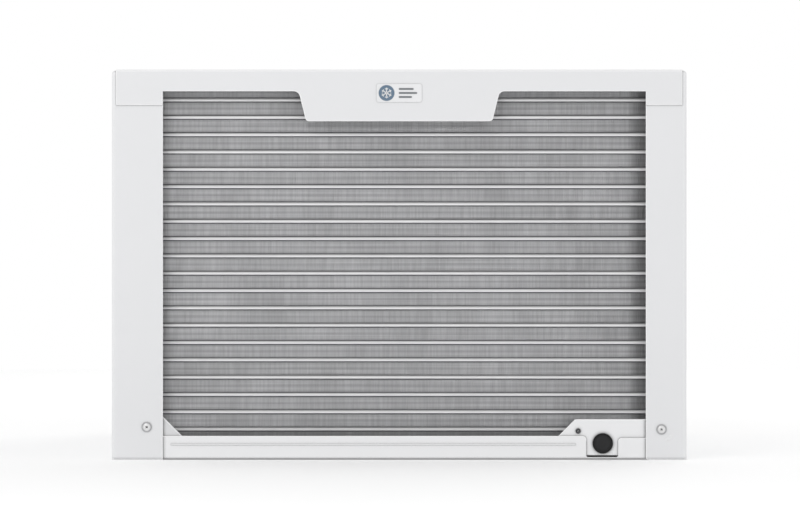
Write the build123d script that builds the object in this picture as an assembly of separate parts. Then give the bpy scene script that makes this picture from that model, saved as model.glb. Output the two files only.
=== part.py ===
from build123d import *
import math
import os

# Window air conditioner, in millimetres.
# X runs to the right seen from the room, -Y is the room side, +Y the outdoor side, Z is up.
# The origin is at the middle of the underside.

# ---- overall size and sheet thicknesses ----
WIDTH = 660.0
HEIGHT = 448.0
DEPTH = 683.0
REAR = DEPTH / 2
FRONT = -DEPTH / 2
HALF = WIDTH / 2
SHEET = 1.2
RAIL_SHEET = 1.0
BADGE_THICK = 0.8
BEND = 4.0

# ---- layers at the outdoor end, from the outside in ----
RAIL_FACE = REAR - BADGE_THICK
FLANGE_FACE = RAIL_FACE - RAIL_SHEET
PAN_FACE = FLANGE_FACE - SHEET - 0.4
PAN_INNER = PAN_FACE - SHEET
COIL_REAR = 326.0

# ---- cabinet ----
SHELL_FRONT = -256.0
SHELL_TOP = HEIGHT - RAIL_SHEET
FLANGE_RIGHT_EDGE = 271.2
FLANGE_LEFT_EDGE = -283.0
RAIL_EDGE = 422.9
RAIL_END_EDGE = 407.0
RAIL_HALF = HALF - 5.0
TAB_BOTTOM = 388.5
TAB_HALF_TOP = 115.5
TAB_HALF_BOTTOM = 106.9
SCREW_SPOTS = [(-301.0, 35.0), (289.7, 37.7)]
SCREW_HEAD_R = 6.0
DIMPLE_R = 12.0
DIMPLE_DEPTH = 0.45
DIMPLE_BALL = (DIMPLE_R**2 + DIMPLE_DEPTH**2) / (2 * DIMPLE_DEPTH)
SCREW_SEAT = DIMPLE_DEPTH * (1 - (SCREW_HEAD_R / DIMPLE_R) ** 2) - 0.02
SIDE_HOLE_Y = -180.0
SIDE_HOLE_Z = (110.0, 340.0)
SIDE_HOLE_R = 2.5
SLOT_TALL = 5.0
SIDE_SLOT = {"long": 60.0, "y": (182.0, 252.0), "z": 70.0, "pitch": 16.0, "rows": 20}
ROOF_SLOT = {"long": 70.0, "x": -205.0, "x_pitch": 82.0, "y": 165.0, "y_pitch": 15.0, "grid": (6, 8)}

# ---- chassis pan ----
PAN_HALF = 327.0
PAN_BASE = 1.5
PAN_FLOOR = PAN_BASE + SHEET
PAN_WALL = 27.5
PAN_WALL_LOW = 25.2
PAN_SIDE_WALL = 22.0
DRAIN_X = -233.0
DRAIN_Z = 18.9
NOTCH_HALF = 18.1
NOTCH_BASE = 3.2
BEAD_X = (-202.7, 262.0)
BEAD_Z = (16.7, 18.9)
PLUG_X = -233.7
PLUG_R = 11.6
SPOUT_R = 10.8
SPOUT_BORE = 9.05
BRACKET_TOP = 46.5
BRACKET_BASE = 5.2
BRACKET_SLOPE = ((-171.0, 15.5), (-202.0, BRACKET_TOP))
BRACKET_END = -322.0
DRAIN_SCREW = (-205.5, 33.1)
GUSSET_TOP = 53.9
GUSSET_BASE = 4.0
GUSSET_SLOPE = ((234.7, 12.8), (275.6, GUSSET_TOP))
FLOOR_SCREW_X = (-312.0, 312.0)
FLOOR_SCREW_Y = (-72.0, 194.0)

# ---- coils ----
TUBE_R = 3.5
TUBE_WALL = 0.5
CONDENSER = {
    "x": (-298.0, 298.0),
    "y": (COIL_REAR - 36.0, COIL_REAR),
    "z": (7.0, 427.0),
    "rows": [(COIL_REAR - 9.0, 14.53, 21), (COIL_REAR - 27.0, 24.51, 20)],
    "pitch": 19.968,
    "plates": 30,
}
EVAPORATOR = {
    "x": (-296.0, 186.0),
    "y": (-244.0, -208.0),
    "z": (22.0, 336.0),
    "rows": [(-235.0, 32.0, 15), (-217.0, 42.5, 14)],
    "pitch": 21.0,
    "plates": 24,
}
FIN_THICK = 1.1
END_PLATE = 1.5

# ---- fans on the common shaft ----
AXIS_X = -60.0
AXIS_Z = 215.0
SHAFT_R = 6.35
BEARING_GAP = 0.08
FAN_R = 200.5
ORIFICE_R = 205.0
WHEEL_R = 118.0

MOTOR_R = 60.0
MOTOR_Y = (64.0, 146.0)
BLOWER_Y = (-184.0, -66.0)

# ---- compressor ----
COMPRESSOR_X = 200.0
COMPRESSOR_Y = 85.0
COMPRESSOR_R = 75.0
FOOT_R = 92.0
FOOT_ANGLES = (30, 150, 270)
FOOT_TOP = 22.0
CAN_TOP = 296.0
BOTTLE_TOP = 230.0
SUCTION_X = 198.0
SUCTION_Z = EVAPORATOR["rows"][1][1] + 12.5 * EVAPORATOR["pitch"]
BOTTLE_REACH = 103.0
BOTTLE_ANGLE = math.radians(37)
ACCUMULATOR = (
    COMPRESSOR_X - BOTTLE_REACH * math.cos(BOTTLE_ANGLE),
    COMPRESSOR_Y - BOTTLE_REACH * math.sin(BOTTLE_ANGLE),
)

# ---- room side ----
PANEL_FACE = FRONT + 1.2
PANEL_REAR = -257.0
PANEL_WALL = 2.5
OUTLET_X = (-306.0, 106.0)
OUTLET_Z = (347.0, 435.0)
LOUVER_Y = -322.0
LOUVER_Z = (363.0, 391.0, 419.0)
LOUVER_PIN = 2.0
VANE_Y = -285.0
VANE_PITCH = 66.0
VANE_COUNT = 6
VANE_FIRST = -265.0
VANE_Z = (357.0, 425.0)
LINK_OFFSET = 14.0
LINK_PIN = 1.5
GRILLE_HALF = 312.0
GRILLE_Z = (13.0, 325.5)
GRILLE_HINGE = (-335.0, 17.0)
FILTER_Y = (-320.0, -314.0)
FILTER_Z = (25.0, 323.0)
FASCIA_X = (124.5, 311.5)
FASCIA_Z = (342.5, 435.5)
BUTTONS = {
    "power_button": (166.0, 389.0),
    "mode_button": (218.0, 389.0),
    "fan_speed_button": (270.0, 389.0),
    "timer_button": (166.0, 364.0),
    "temp_down_button": (218.0, 364.0),
    "temp_up_button": (270.0, 364.0),
}
BUTTON_SIZE = (38.0, 14.0)
LEVER_X = 202.0
LEVER_Z = 334.5
DISPLAY_X = (150.0, 286.0)
DISPLAY_Z = (403.0, 428.0)
FILTER_PANELS = ((-292.0, 6.0), (12.0, 312.0))
FILTER_RIM = 8.0
CORD_Y = -285.0
CORD_Z = 45.0
VENT_X = (212.0, 268.0)
VENT_Z = (352.0, 398.0)
BULKHEAD_Y = (-61.2, -60.0)


# ---- shape helpers ----
def slab(x, y, z):
    """A block between pairs of X, Y and Z limits."""
    size = Box(x[1] - x[0], y[1] - y[0], z[1] - z[0])
    return Pos((x[0] + x[1]) / 2, (y[0] + y[1]) / 2, (z[0] + z[1]) / 2) * size


def rod_x(radius, x, y, z):
    """A round bar along X."""
    return Pos((x[0] + x[1]) / 2, y, z) * Rot(0, 90, 0) * Cylinder(radius, x[1] - x[0])


def rod_y(radius, x, y, z):
    """A round bar along Y."""
    return Pos(x, (y[0] + y[1]) / 2, z) * Rot(90, 0, 0) * Cylinder(radius, y[1] - y[0])


def rod_z(radius, x, y, z):
    """A round bar along Z."""
    return Pos(x, y, (z[0] + z[1]) / 2) * Cylinder(radius, z[1] - z[0])


def plate_y(face, y):
    """A face drawn with X across and Z up, given its thickness along Y."""
    plane = Plane((0, y[1], 0), x_dir=(1, 0, 0), z_dir=(0, -1, 0))
    return extrude(plane * face, y[1] - y[0])


def plate_x(face, x):
    """A face drawn with Y across and Z up, given its thickness along X."""
    plane = Plane((x[0], 0, 0), x_dir=(0, 1, 0), z_dir=(1, 0, 0))
    return extrude(plane * face, x[1] - x[0])


def edges_at(part, along, **at):
    """Straight edges along one axis whose middle lies at the given coordinates."""
    found = []
    for edge in part.edges().filter_by(along):
        middle = edge.center()
        if all(abs(getattr(middle, name.upper()) - value) < 0.05 for name, value in at.items()):
            found.append(edge)
    return found


def flange_round(part, radius):
    """Rounds the two upper long bends and the outdoor bends of a cabinet block."""
    top = part.edges().filter_by(Axis.Y).group_by(Axis.Z)[-1]
    upright = part.edges().filter_by(Axis.Z).group_by(Axis.Y)[-1]
    across = part.edges().filter_by(Axis.X).group_by(Axis.Y)[-1].group_by(Axis.Z)[-1]
    return fillet(list(top) + list(upright) + list(across), radius)


def cross_recess(x, z, y, reach, width, depth):
    """The cross cut into a screw head that faces +Y."""
    flat = slab((x - reach, x + reach), (y - depth, y + 1), (z - width / 2, z + width / 2))
    upright = slab((x - width / 2, x + width / 2), (y - depth, y + 1), (z - reach, z + reach))
    return flat + upright


def pan_screw(x, z, face, head_r, head_h, shank_r, length):
    """A cross-recessed screw with a domed head standing on a face that looks to +Y."""
    head = rod_y(head_r, x, (face, face + head_h), z)
    head = fillet(head.edges().group_by(Axis.Y)[-1], head_h * 0.7)
    shank = rod_y(shank_r, x, (face - length, face), z)
    recess = cross_recess(x, z, face + head_h, head_r * 0.55, head_r * 0.26, head_h * 0.7)
    return head + shank - recess


# ---- cabinet ----
def louvre_slots():
    """The air-intake slots of the cabinet's sides and top."""
    cuts = []
    side = SlotOverall(SIDE_SLOT["long"], SLOT_TALL)
    for y in SIDE_SLOT["y"]:
        for row in range(SIDE_SLOT["rows"]):
            slot = Pos(y, SIDE_SLOT["z"] + row * SIDE_SLOT["pitch"]) * side
            cuts.append(plate_x(slot, (-HALF - 1, HALF + 1)))
    top = SlotOverall(ROOF_SLOT["long"], SLOT_TALL)
    for column in range(ROOF_SLOT["grid"][0]):
        for row in range(ROOF_SLOT["grid"][1]):
            x = ROOF_SLOT["x"] + column * ROOF_SLOT["x_pitch"]
            y = ROOF_SLOT["y"] + row * ROOF_SLOT["y_pitch"]
            cuts.append(extrude(Pos(x, y, SHELL_TOP - 3) * top, 5))
    return cuts


def cabinet_shell():
    """The wrapper: roof, two sides, in-turned feet and the outdoor flanges."""
    block = slab((-HALF, HALF), (SHELL_FRONT, FLANGE_FACE), (0, SHELL_TOP))
    hollow = slab(
        (-HALF + SHEET, HALF - SHEET),
        (SHELL_FRONT - 10, FLANGE_FACE - SHEET),
        (-10, SHELL_TOP - SHEET),
    )
    shell = flange_round(block, BEND) - flange_round(hollow, BEND - SHEET)
    window = slab((FLANGE_LEFT_EDGE, FLANGE_RIGHT_EDGE), (FLANGE_FACE - 9, REAR), (-1, 431))
    shell -= window
    for side in (-1, 1):
        feet_x = sorted((side * (HALF - 30), side * (HALF - SHEET / 2)))
        shell += slab(feet_x, (SHELL_FRONT, FLANGE_FACE - SHEET / 2), (0, SHEET))
    shell -= louvre_slots()
    for x, z in SCREW_SPOTS:
        shell -= Pos(x, FLANGE_FACE - DIMPLE_DEPTH + DIMPLE_BALL, z) * Sphere(DIMPLE_BALL)
        shell -= rod_y(2.3, x, (FLANGE_FACE - 5, REAR), z)
    for z in SIDE_HOLE_Z:
        shell -= rod_x(SIDE_HOLE_R, (-HALF - 1, HALF + 1), SIDE_HOLE_Y, z)
    mark = Pos(SCREW_SPOTS[0][0] - 8.5, SCREW_SPOTS[0][1] - 9.5) * Rot(0, 0, -38)
    shell += plate_y(mark * RectangleRounded(8.5, 3.2, 0.8), (FLANGE_FACE - 0.5, FLANGE_FACE + 0.3))
    shell = fillet(edges_at(shell, Axis.Y, x=FLANGE_LEFT_EDGE, z=0), 3.0)
    return shell


def rear_top_rail():
    """The folded rail over the top of the outdoor opening, with its middle tab."""
    half = [
        (RAIL_HALF, HEIGHT),
        (RAIL_HALF, RAIL_END_EDGE),
        (FLANGE_RIGHT_EDGE, RAIL_END_EDGE),
        (FLANGE_RIGHT_EDGE, RAIL_EDGE),
        (TAB_HALF_TOP, RAIL_EDGE),
        (TAB_HALF_BOTTOM, TAB_BOTTOM),
    ]
    other = [
        (-TAB_HALF_BOTTOM, TAB_BOTTOM),
        (-TAB_HALF_TOP, RAIL_EDGE),
        (FLANGE_LEFT_EDGE, RAIL_EDGE),
        (FLANGE_LEFT_EDGE, RAIL_END_EDGE),
        (-RAIL_HALF, RAIL_END_EDGE),
        (-RAIL_HALF, HEIGHT),
    ]
    rail = plate_y(make_face(Polyline(*half, *other, close=True)), (FLANGE_FACE, RAIL_FACE))
    rail += slab((-RAIL_HALF, RAIL_HALF), (REAR - 26, RAIL_FACE), (SHELL_TOP, HEIGHT))
    upper = [e for side in (-1, 1) for e in edges_at(rail, Axis.Y, x=side * TAB_HALF_TOP, z=RAIL_EDGE)]
    rail = fillet(upper, 7.0)
    lower = [e for side in (-1, 1) for e in edges_at(rail, Axis.Y, x=side * TAB_HALF_BOTTOM, z=TAB_BOTTOM)]
    rail = fillet(lower, 4.6)
    fold = edges_at(rail, Axis.X, y=RAIL_FACE, z=HEIGHT)
    rail = fillet(fold, 2.0)
    face = rail.faces().filter_by(Axis.Y).sort_by(Axis.Y)[-1]
    rim = [e for e in face.outer_wire().edges() if e.center().Z < HEIGHT - 3]
    return chamfer(rim, 0.3)


def rear_badge():
    """A small plain name plate on the tab."""
    plate = plate_y(Pos(0, 421) * RectangleRounded(52, 21, 3.5), (RAIL_FACE, REAR))
    return fillet(plate.edges().filter_by(Plane.XZ).group_by(Axis.Y)[-1], 0.4)


def flange_screws():
    """The two screws through the outdoor flanges."""
    screws = []
    for x, z in SCREW_SPOTS:
        screws.append(pan_screw(x, z, FLANGE_FACE - SCREW_SEAT, SCREW_HEAD_R, 1.8, 2.0, 0.7))
    return Compound(children=screws)


# ---- chassis pan and the pieces on it ----
def base_pan():
    """The pressed tray with the outdoor wall, its bead and its notch for the drain."""
    span = (-PAN_HALF, PAN_HALF)
    pan = slab(span, (SHELL_FRONT, PAN_FACE), (PAN_BASE, PAN_FLOOR))
    pan += slab(span, (PAN_INNER, PAN_FACE), (PAN_BASE, PAN_WALL))
    for side in (-1, 1):
        wall_x = sorted((side * (PAN_HALF - SHEET), side * PAN_HALF))
        pan += slab(wall_x, (SHELL_FRONT, PAN_FACE), (PAN_BASE, PAN_SIDE_WALL))
    low_x = (-PAN_HALF - 1, DRAIN_X - NOTCH_HALF)
    pan -= slab(low_x, (PAN_INNER, PAN_FACE + 1), (PAN_WALL_LOW, PAN_WALL + 1))
    notch_x = (DRAIN_X - NOTCH_HALF, DRAIN_X + NOTCH_HALF)
    pan -= slab(notch_x, (PAN_INNER - 0.01, PAN_FACE + 1), (NOTCH_BASE, PAN_WALL + 1))
    pan = fillet(edges_at(pan, Axis.Y, x=notch_x[1], z=PAN_WALL), 4.5)
    pan = fillet(edges_at(pan, Axis.Y, x=notch_x[0], z=PAN_WALL_LOW), 4.5)
    bottom = [e for x in notch_x for e in edges_at(pan, Axis.Y, x=x, z=NOTCH_BASE)]
    pan = fillet(bottom, 2.0)
    bead = slab(BEAD_X, (PAN_FACE - 0.3, PAN_FACE + 0.7), BEAD_Z)
    bead = chamfer(bead.edges().group_by(Axis.Y)[-1], 0.6)
    pan += bead
    pan += slab((-300, 300), (-290, SHELL_FRONT + 3), (PAN_FLOOR, PAN_FLOOR + SHEET))
    pan += slab((96, 296), (-12, 176), (PAN_FLOOR, PAN_FLOOR + 4))
    pan += slab((AXIS_X - 80, AXIS_X + 80), (60, 150), (PAN_FLOOR, PAN_FLOOR + 4))
    top = edges_at(pan, Axis.X, y=PAN_FACE, z=PAN_WALL)
    return fillet(top, 0.5)


def drain_bracket():
    """The plate behind the pan wall that carries the drain spout."""
    foot, shoulder = BRACKET_SLOPE
    outline = Polyline(
        (foot[0], BRACKET_BASE),
        foot,
        shoulder,
        (BRACKET_END, BRACKET_TOP),
        (BRACKET_END, BRACKET_BASE),
        close=True,
    )
    plate = plate_y(make_face(outline), (PAN_INNER - SHEET, PAN_INNER))
    plate = fillet(edges_at(plate, Axis.Y, x=shoulder[0], z=shoulder[1]), 2.5)
    plate += slab((BRACKET_END, shoulder[0] - 3), (329, PAN_INNER), (BRACKET_TOP - SHEET, BRACKET_TOP))
    plate += rod_y(SPOUT_R, PLUG_X, (328, PAN_INNER), DRAIN_Z)
    plate -= rod_y(SPOUT_BORE, PLUG_X, (320, PAN_INNER + 1), DRAIN_Z)
    plate -= rod_y(1.9, DRAIN_SCREW[0], (330, PAN_INNER + 1), DRAIN_SCREW[1])
    top = edges_at(plate, Axis.X, y=PAN_INNER, z=BRACKET_TOP)
    return fillet(top, 0.5)


def pan_gusset():
    """The corner plate behind the other end of the pan wall."""
    foot, shoulder = GUSSET_SLOPE
    outline = Polyline(
        (foot[0], GUSSET_BASE),
        foot,
        shoulder,
        (-BRACKET_END, GUSSET_TOP),
        (-BRACKET_END, GUSSET_BASE),
        close=True,
    )
    plate = plate_y(make_face(outline), (PAN_INNER - SHEET, PAN_INNER))
    half_way = (foot[0] + shoulder[0]) / 2
    outdoor = plate.edges().group_by(Axis.Y)[-1]
    return chamfer([e for e in outdoor if abs(e.center().X - half_way) < 0.5], 0.4)


def chassis_screws():
    """The drain bracket's screw and the four screws that hold the shroud and bulkhead feet."""
    screws = [pan_screw(*DRAIN_SCREW, PAN_INNER, 3.3, 1.4, 1.8, 4.0)]
    for x in FLOOR_SCREW_X:
        for y in FLOOR_SCREW_Y:
            head = rod_z(3.6, x, y, (PAN_FLOOR + 1.2, PAN_FLOOR + 3.2))
            screws.append(fillet(head.edges().group_by(Axis.Z)[-1], 1.0))
    return Compound(children=screws)


def drain_plug():
    """The rubber stopper in the drain spout."""
    cap = rod_y(PLUG_R, PLUG_X, (PAN_INNER, PAN_INNER + 2.4), DRAIN_Z)
    cap = fillet(cap.edges().group_by(Axis.Y)[-1], 1.0)
    stem = rod_y(SPOUT_BORE - 0.1, PLUG_X, (329.5, PAN_INNER), DRAIN_Z)
    stem = chamfer(stem.edges().group_by(Axis.Y)[0], 1.2)
    return cap + stem


# ---- coils ----
def tube_spots(coil):
    """The (Y, Z) centres of every tube of a coil."""
    return [(y, z + i * coil["pitch"]) for y, z, count in coil["rows"] for i in range(count)]


def holed_sheet(coil, grow):
    """The outline of one fin or end plate, with its tube holes."""
    depth = coil["y"][1] - coil["y"][0] + grow
    tall = coil["z"][1] - coil["z"][0] + grow
    middle = Pos(sum(coil["y"]) / 2, sum(coil["z"]) / 2)
    holes = [Pos(y, z) * Circle(TUBE_R) for y, z in tube_spots(coil)]
    return middle * Rectangle(depth, tall) - holes


def coil_fins(coil):
    """Evenly spaced fin plates, each holding every tube."""
    low, high = coil["x"]
    plate = plate_x(holed_sheet(coil, 0), (0, FIN_THICK))
    step = (high - low - FIN_THICK) / (coil["plates"] - 1)
    return Compound(children=[Pos(low + i * step, 0, 0) * plate for i in range(coil["plates"])])


def coil_tubes(coil, open_right):
    """Straight tubes and the U bends that join neighbours of a row at both ends."""
    low, high = coil["x"]
    ends = (low - END_PLATE, high + END_PLATE)
    run = rod_x(TUBE_R, ends, 0, 0) - rod_x(TUBE_R - TUBE_WALL, (ends[0] - 1, ends[1] + 1), 0, 0)
    radius = coil["pitch"] / 2
    ring = Torus(radius, TUBE_R) - Torus(radius, TUBE_R - TUBE_WALL)
    ring = Rot(90, 0, 0) * ring
    reach = radius + TUBE_R + 1
    bends = {
        1: ring & slab((0, reach), (-reach, reach), (-reach, reach)),
        -1: ring & slab((-reach, 0), (-reach, reach), (-reach, reach)),
    }
    solids = [Pos(0, y, z) * run for y, z in tube_spots(coil)]
    for y, z, count in coil["rows"]:
        for lower in range(count - 1):
            from_top = count - 2 - lower
            side = 1 if from_top % 2 == open_right else -1
            centre_z = z + (lower + 0.5) * coil["pitch"]
            end = ends[1] if side > 0 else ends[0]
            solids.append(Pos(end, y, centre_z) * bends[side])
    return Compound(children=solids)


def coil_end_plates():
    """The pierced plates at both ends of both coils."""
    plates = []
    for coil in (CONDENSER, EVAPORATOR):
        sheet = holed_sheet(coil, 2)
        for x in ((coil["x"][0] - END_PLATE, coil["x"][0]), (coil["x"][1], coil["x"][1] + END_PLATE)):
            plates.append(plate_x(sheet, x))
    return Compound(children=plates)


# ---- outdoor air path ----
def fan_shroud():
    """The box that ducts the fan's air through the condenser, with its round orifice."""
    side = 306.0
    wall = 2.0
    box_y = (200.0, CONDENSER["y"][0] - 1.5)
    shroud = slab((-side, side), box_y, (5, 438))
    shroud -= slab((-side + wall, side - wall), (box_y[0] + wall, box_y[1] + 1), (5 + wall, 438 - wall))
    shroud += rod_y(ORIFICE_R + 2.5, AXIS_X, (176, box_y[0] + wall), AXIS_Z)
    shroud -= rod_y(ORIFICE_R, AXIS_X, (170, box_y[0] + wall + 1), AXIS_Z)
    for x in FLOOR_SCREW_X:
        inner = sorted((x, math.copysign(side - 1, x)))
        shroud += slab((inner[0] - 5, inner[1] + 5), (188, 201), (PAN_FLOOR, PAN_FLOOR + 1.2))
        shroud += slab(sorted((math.copysign(300, x), math.copysign(306, x))), (199, 202), (PAN_FLOOR, 20))
    return shroud


def condenser_fan():
    """The five-bladed fan with the slinger ring that throws condensate on the coil."""
    hub_y = (196.0, 234.0)
    fan = rod_y(44, AXIS_X, hub_y, AXIS_Z)
    fan = fillet(fan.edges().group_by(Axis.Y)[0], 6)
    ring = rod_y(FAN_R, AXIS_X, (206, 226), AXIS_Z) - rod_y(FAN_R - 3, AXIS_X, (200, 230), AXIS_Z)
    space = rod_y(FAN_R - 1, AXIS_X, (184, 236), AXIS_Z) - rod_y(36, AXIS_X, (180, 240), AXIS_Z)
    blade = Pos(118, 0, 0) * Rot(24, 0, 0) * Box(170, 2.4, 96)
    for i in range(5):
        turned = Pos(AXIS_X, 214, AXIS_Z) * Rot(0, i * 72, 0) * blade
        fan += turned & space
    fan += ring
    return fan - rod_y(SHAFT_R, AXIS_X, (180, 240), AXIS_Z)


def motor_shaft():
    """The double-ended shaft that turns both fans."""
    shaft = rod_y(SHAFT_R, AXIS_X, (-172, 240), AXIS_Z)
    return chamfer(shaft.edges().filter_by(GeomType.CIRCLE), 0.8)


def fan_motor():
    """The two-speed motor between both fans."""
    motor = rod_y(MOTOR_R, AXIS_X, MOTOR_Y, AXIS_Z)
    motor = fillet(motor.edges().filter_by(GeomType.CIRCLE), 8)
    for y in ((MOTOR_Y[0] - 12, MOTOR_Y[0] + 2), (MOTOR_Y[1] - 2, MOTOR_Y[1] + 12)):
        motor += rod_y(16, AXIS_X, y, AXIS_Z)
    motor += slab((AXIS_X + 50, AXIS_X + 68), (117, 141), (AXIS_Z - 20, AXIS_Z + 20))
    return motor - rod_y(SHAFT_R + BEARING_GAP, AXIS_X, (40, 170), AXIS_Z)


def motor_bracket():
    """The pressed stand that holds the motor, with its clamping band."""
    foot = PAN_FLOOR + 4
    bracket = slab((AXIS_X - 74, AXIS_X + 74), (78, 132), (foot, foot + 3))
    for side in (-1, 1):
        leg_x = sorted((AXIS_X + side * 46, AXIS_X + side * 49))
        bracket += slab(leg_x, (78, 132), (foot, AXIS_Z - 30))
    bracket += rod_y(MOTOR_R + 2, AXIS_X, (94, 114), AXIS_Z)
    return bracket - rod_y(MOTOR_R, AXIS_X, (70, 140), AXIS_Z)


# ---- compressor and refrigerant circuit ----

def foot_spots():
    """Where the compressor's three rubber feet stand."""
    return [
        (COMPRESSOR_X + FOOT_R * math.cos(math.radians(a)), COMPRESSOR_Y + FOOT_R * math.sin(math.radians(a)))
        for a in FOOT_ANGLES
    ]


def compressor():
    """The sealed compressor with its base plate and suction accumulator."""
    can = rod_z(COMPRESSOR_R, COMPRESSOR_X, COMPRESSOR_Y, (FOOT_TOP, CAN_TOP))
    can = fillet(can.edges().group_by(Axis.Z)[-1], 26)
    can += rod_z(14, COMPRESSOR_X, COMPRESSOR_Y - 30, (CAN_TOP - 6, CAN_TOP + 8))
    base = rod_z(82, COMPRESSOR_X, COMPRESSOR_Y, (FOOT_TOP - 4, FOOT_TOP))
    for x, y in foot_spots():
        base += rod_z(16, x, y, (FOOT_TOP - 4, FOOT_TOP))
    for x, y in foot_spots():
        base -= rod_z(7, x, y, (FOOT_TOP - 6, FOOT_TOP + 2))
    bottle = rod_z(22, ACCUMULATOR[0], ACCUMULATOR[1], (60, BOTTLE_TOP))
    bottle = fillet(bottle.edges().filter_by(GeomType.CIRCLE), 10)
    strap = Pos((COMPRESSOR_X + ACCUMULATOR[0]) / 2, (COMPRESSOR_Y + ACCUMULATOR[1]) / 2, 150)
    angle = math.degrees(math.atan2(ACCUMULATOR[1] - COMPRESSOR_Y, ACCUMULATOR[0] - COMPRESSOR_X))
    strap = strap * Rot(0, 0, angle) * Box(70, 20, 16)
    well = rod_z(COMPRESSOR_R - 7, COMPRESSOR_X, COMPRESSOR_Y, (0, 170))
    strap -= rod_z(COMPRESSOR_R - 4, COMPRESSOR_X, COMPRESSOR_Y, (100, 200))
    return can + base - well + bottle + strap


def compressor_grommets():
    """Three rubber feet under the compressor's base plate."""
    grommets = []
    for x, y in foot_spots():
        foot = rod_z(13, x, y, (PAN_FLOOR + 4, FOOT_TOP - 4)) + rod_z(6.9, x, y, (10, FOOT_TOP + 1))
        foot += rod_z(11, x, y, (FOOT_TOP, FOOT_TOP + 3))
        grommets.append(foot - rod_z(3.2, x, y, (0, 40)))
    return Compound(children=grommets)


def compressor_nuts():
    """Three studs with their hexagon nuts on the rubber feet."""
    nuts = []
    for x, y in foot_spots():
        nut = extrude(Pos(x, y, FOOT_TOP + 3) * RegularPolygon(6.5, 6), 5)
        nuts.append(nut + rod_z(3, x, y, (PAN_FLOOR + 4, FOOT_TOP + 12)))
    return Compound(children=nuts)


def pipe(points, radius, bend):
    """A round pipe along straight runs with tangent bends."""
    path = FilletPolyline(*points, radius=bend)
    start = Plane(origin=path @ 0, z_dir=path % 0)
    return sweep(start * Circle(radius), path=path)


def refrigerant_pipes():
    """The hot-gas pipe to the condenser and the suction pipe from the evaporator."""
    inner_row = CONDENSER["rows"][1]
    top_tube = inner_row[1] + (inner_row[2] - 1) * CONDENSER["pitch"]
    hot = [
        (COMPRESSOR_X, COMPRESSOR_Y + 30, CAN_TOP),
        (COMPRESSOR_X, COMPRESSOR_Y + 30, top_tube),
        (316, COMPRESSOR_Y + 30, top_tube),
        (316, inner_row[0], top_tube),
        (300.5, inner_row[0], top_tube),
    ]
    cold = [
        (ACCUMULATOR[0], ACCUMULATOR[1], BOTTLE_TOP),
        (ACCUMULATOR[0], ACCUMULATOR[1], SUCTION_Z),
        (SUCTION_X, ACCUMULATOR[1], SUCTION_Z),
        (SUCTION_X, -226, SUCTION_Z),
        (188.5, -226, SUCTION_Z),
    ]
    return Compound(children=[pipe(hot, 4.0, 9.0), pipe(cold, 4.0, 9.0)])


def capillary_coil():
    """Close turns of thin capillary tube beside the compressor."""
    turns = [Pos(70, 150, 300 + i * 2.6) * Torus(24, 1.25) for i in range(5)]
    return Compound(children=turns)


# ---- partition and indoor air path ----
def bulkhead():
    """The insulated partition between the outdoor and indoor halves."""
    wall = slab((-322, 322), BULKHEAD_Y, (PAN_FLOOR, 440))
    wall += slab((-322, 322), (-80, BULKHEAD_Y[1]), (PAN_FLOOR, PAN_FLOOR + SHEET))
    wall -= rod_y(14, AXIS_X, (-70, -50), AXIS_Z)
    wall -= rod_y(7, SUCTION_X, (-70, -50), SUCTION_Z)
    wall -= slab(VENT_X, (-70, -50), VENT_Z)
    return wall


def scroll_outline(grow):
    """The spiral of the blower housing joined to the plenum above it."""
    points = []
    for step in range(0, 10):
        angle = math.radians(40 - step * 30)
        radius = 128 + grow + 3.6 * step
        points.append((AXIS_X + radius * math.cos(angle), AXIS_Z + radius * math.sin(angle)))
    spiral = Spline(*points)
    last = points[-1]
    start = points[0]
    rise = OUTLET_Z[0] + 10
    sides = Polyline(last, (last[0], rise), (start[0], rise), start)
    body = make_face([spiral, sides])
    plenum = Pos(sum(OUTLET_X) / 2, sum(OUTLET_Z) / 2) * Rectangle(
        OUTLET_X[1] - OUTLET_X[0] + 2 * grow, OUTLET_Z[1] - OUTLET_Z[0] + 2 * grow
    )
    return body + plenum


def blower_scroll():
    """The housing that turns the blower's air up into the outlet duct."""
    housing = plate_y(scroll_outline(2.0), BLOWER_Y)
    housing -= plate_y(scroll_outline(0.0), (BLOWER_Y[0] + 2, BLOWER_Y[1] - 2))
    housing -= rod_y(96, AXIS_X, (-190, -180), AXIS_Z)
    housing -= rod_y(14, AXIS_X, (-70, -60), AXIS_Z)
    inside_x = (OUTLET_X[0] + 2, OUTLET_X[1] - 2)
    return housing - slab(inside_x, (-190, -181), (OUTLET_Z[0] + 2, OUTLET_Z[1] - 2))


def inlet_orifice():
    """The bell-mouth ring that guides air into the blower wheel."""
    ring = rod_y(110, AXIS_X, (-188, -184), AXIS_Z) - rod_y(88, AXIS_X, (-200, -180), AXIS_Z)
    lip = rod_y(91, AXIS_X, (-190, -172), AXIS_Z) - rod_y(88, AXIS_X, (-200, -160), AXIS_Z)
    return fillet((ring + lip).edges().group_by(Axis.Y)[0], 1.0)


def blower_wheel():
    """The squirrel-cage wheel: back plate, hub, two rings and a cage of curved blades."""
    wheel = rod_y(WHEEL_R, AXIS_X, (-80, -78), AXIS_Z) + rod_y(20, AXIS_X, (-110, -76), AXIS_Z)
    rim = rod_y(WHEEL_R, AXIS_X, (-168, -165), AXIS_Z) - rod_y(WHEEL_R - 12, AXIS_X, (-180, -150), AXIS_Z)
    wheel += rim
    blade = Pos(WHEEL_R - 6.5, 0, 0) * Rot(0, 30, 0) * Box(11, 87, 1.6)
    for i in range(32):
        wheel += Pos(AXIS_X, -122.5, AXIS_Z) * Rot(0, i * 11.25, 0) * blade
    return wheel - rod_y(SHAFT_R, AXIS_X, (-190, -60), AXIS_Z)


def condensate_tray():
    """The drip tray under the evaporator."""
    tray = slab((-300, 192), (-252, -200), (PAN_FLOOR + 1, 20))
    return tray - slab((-297, 189), (-249, -203), (PAN_FLOOR + 3.5, 30))


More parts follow.
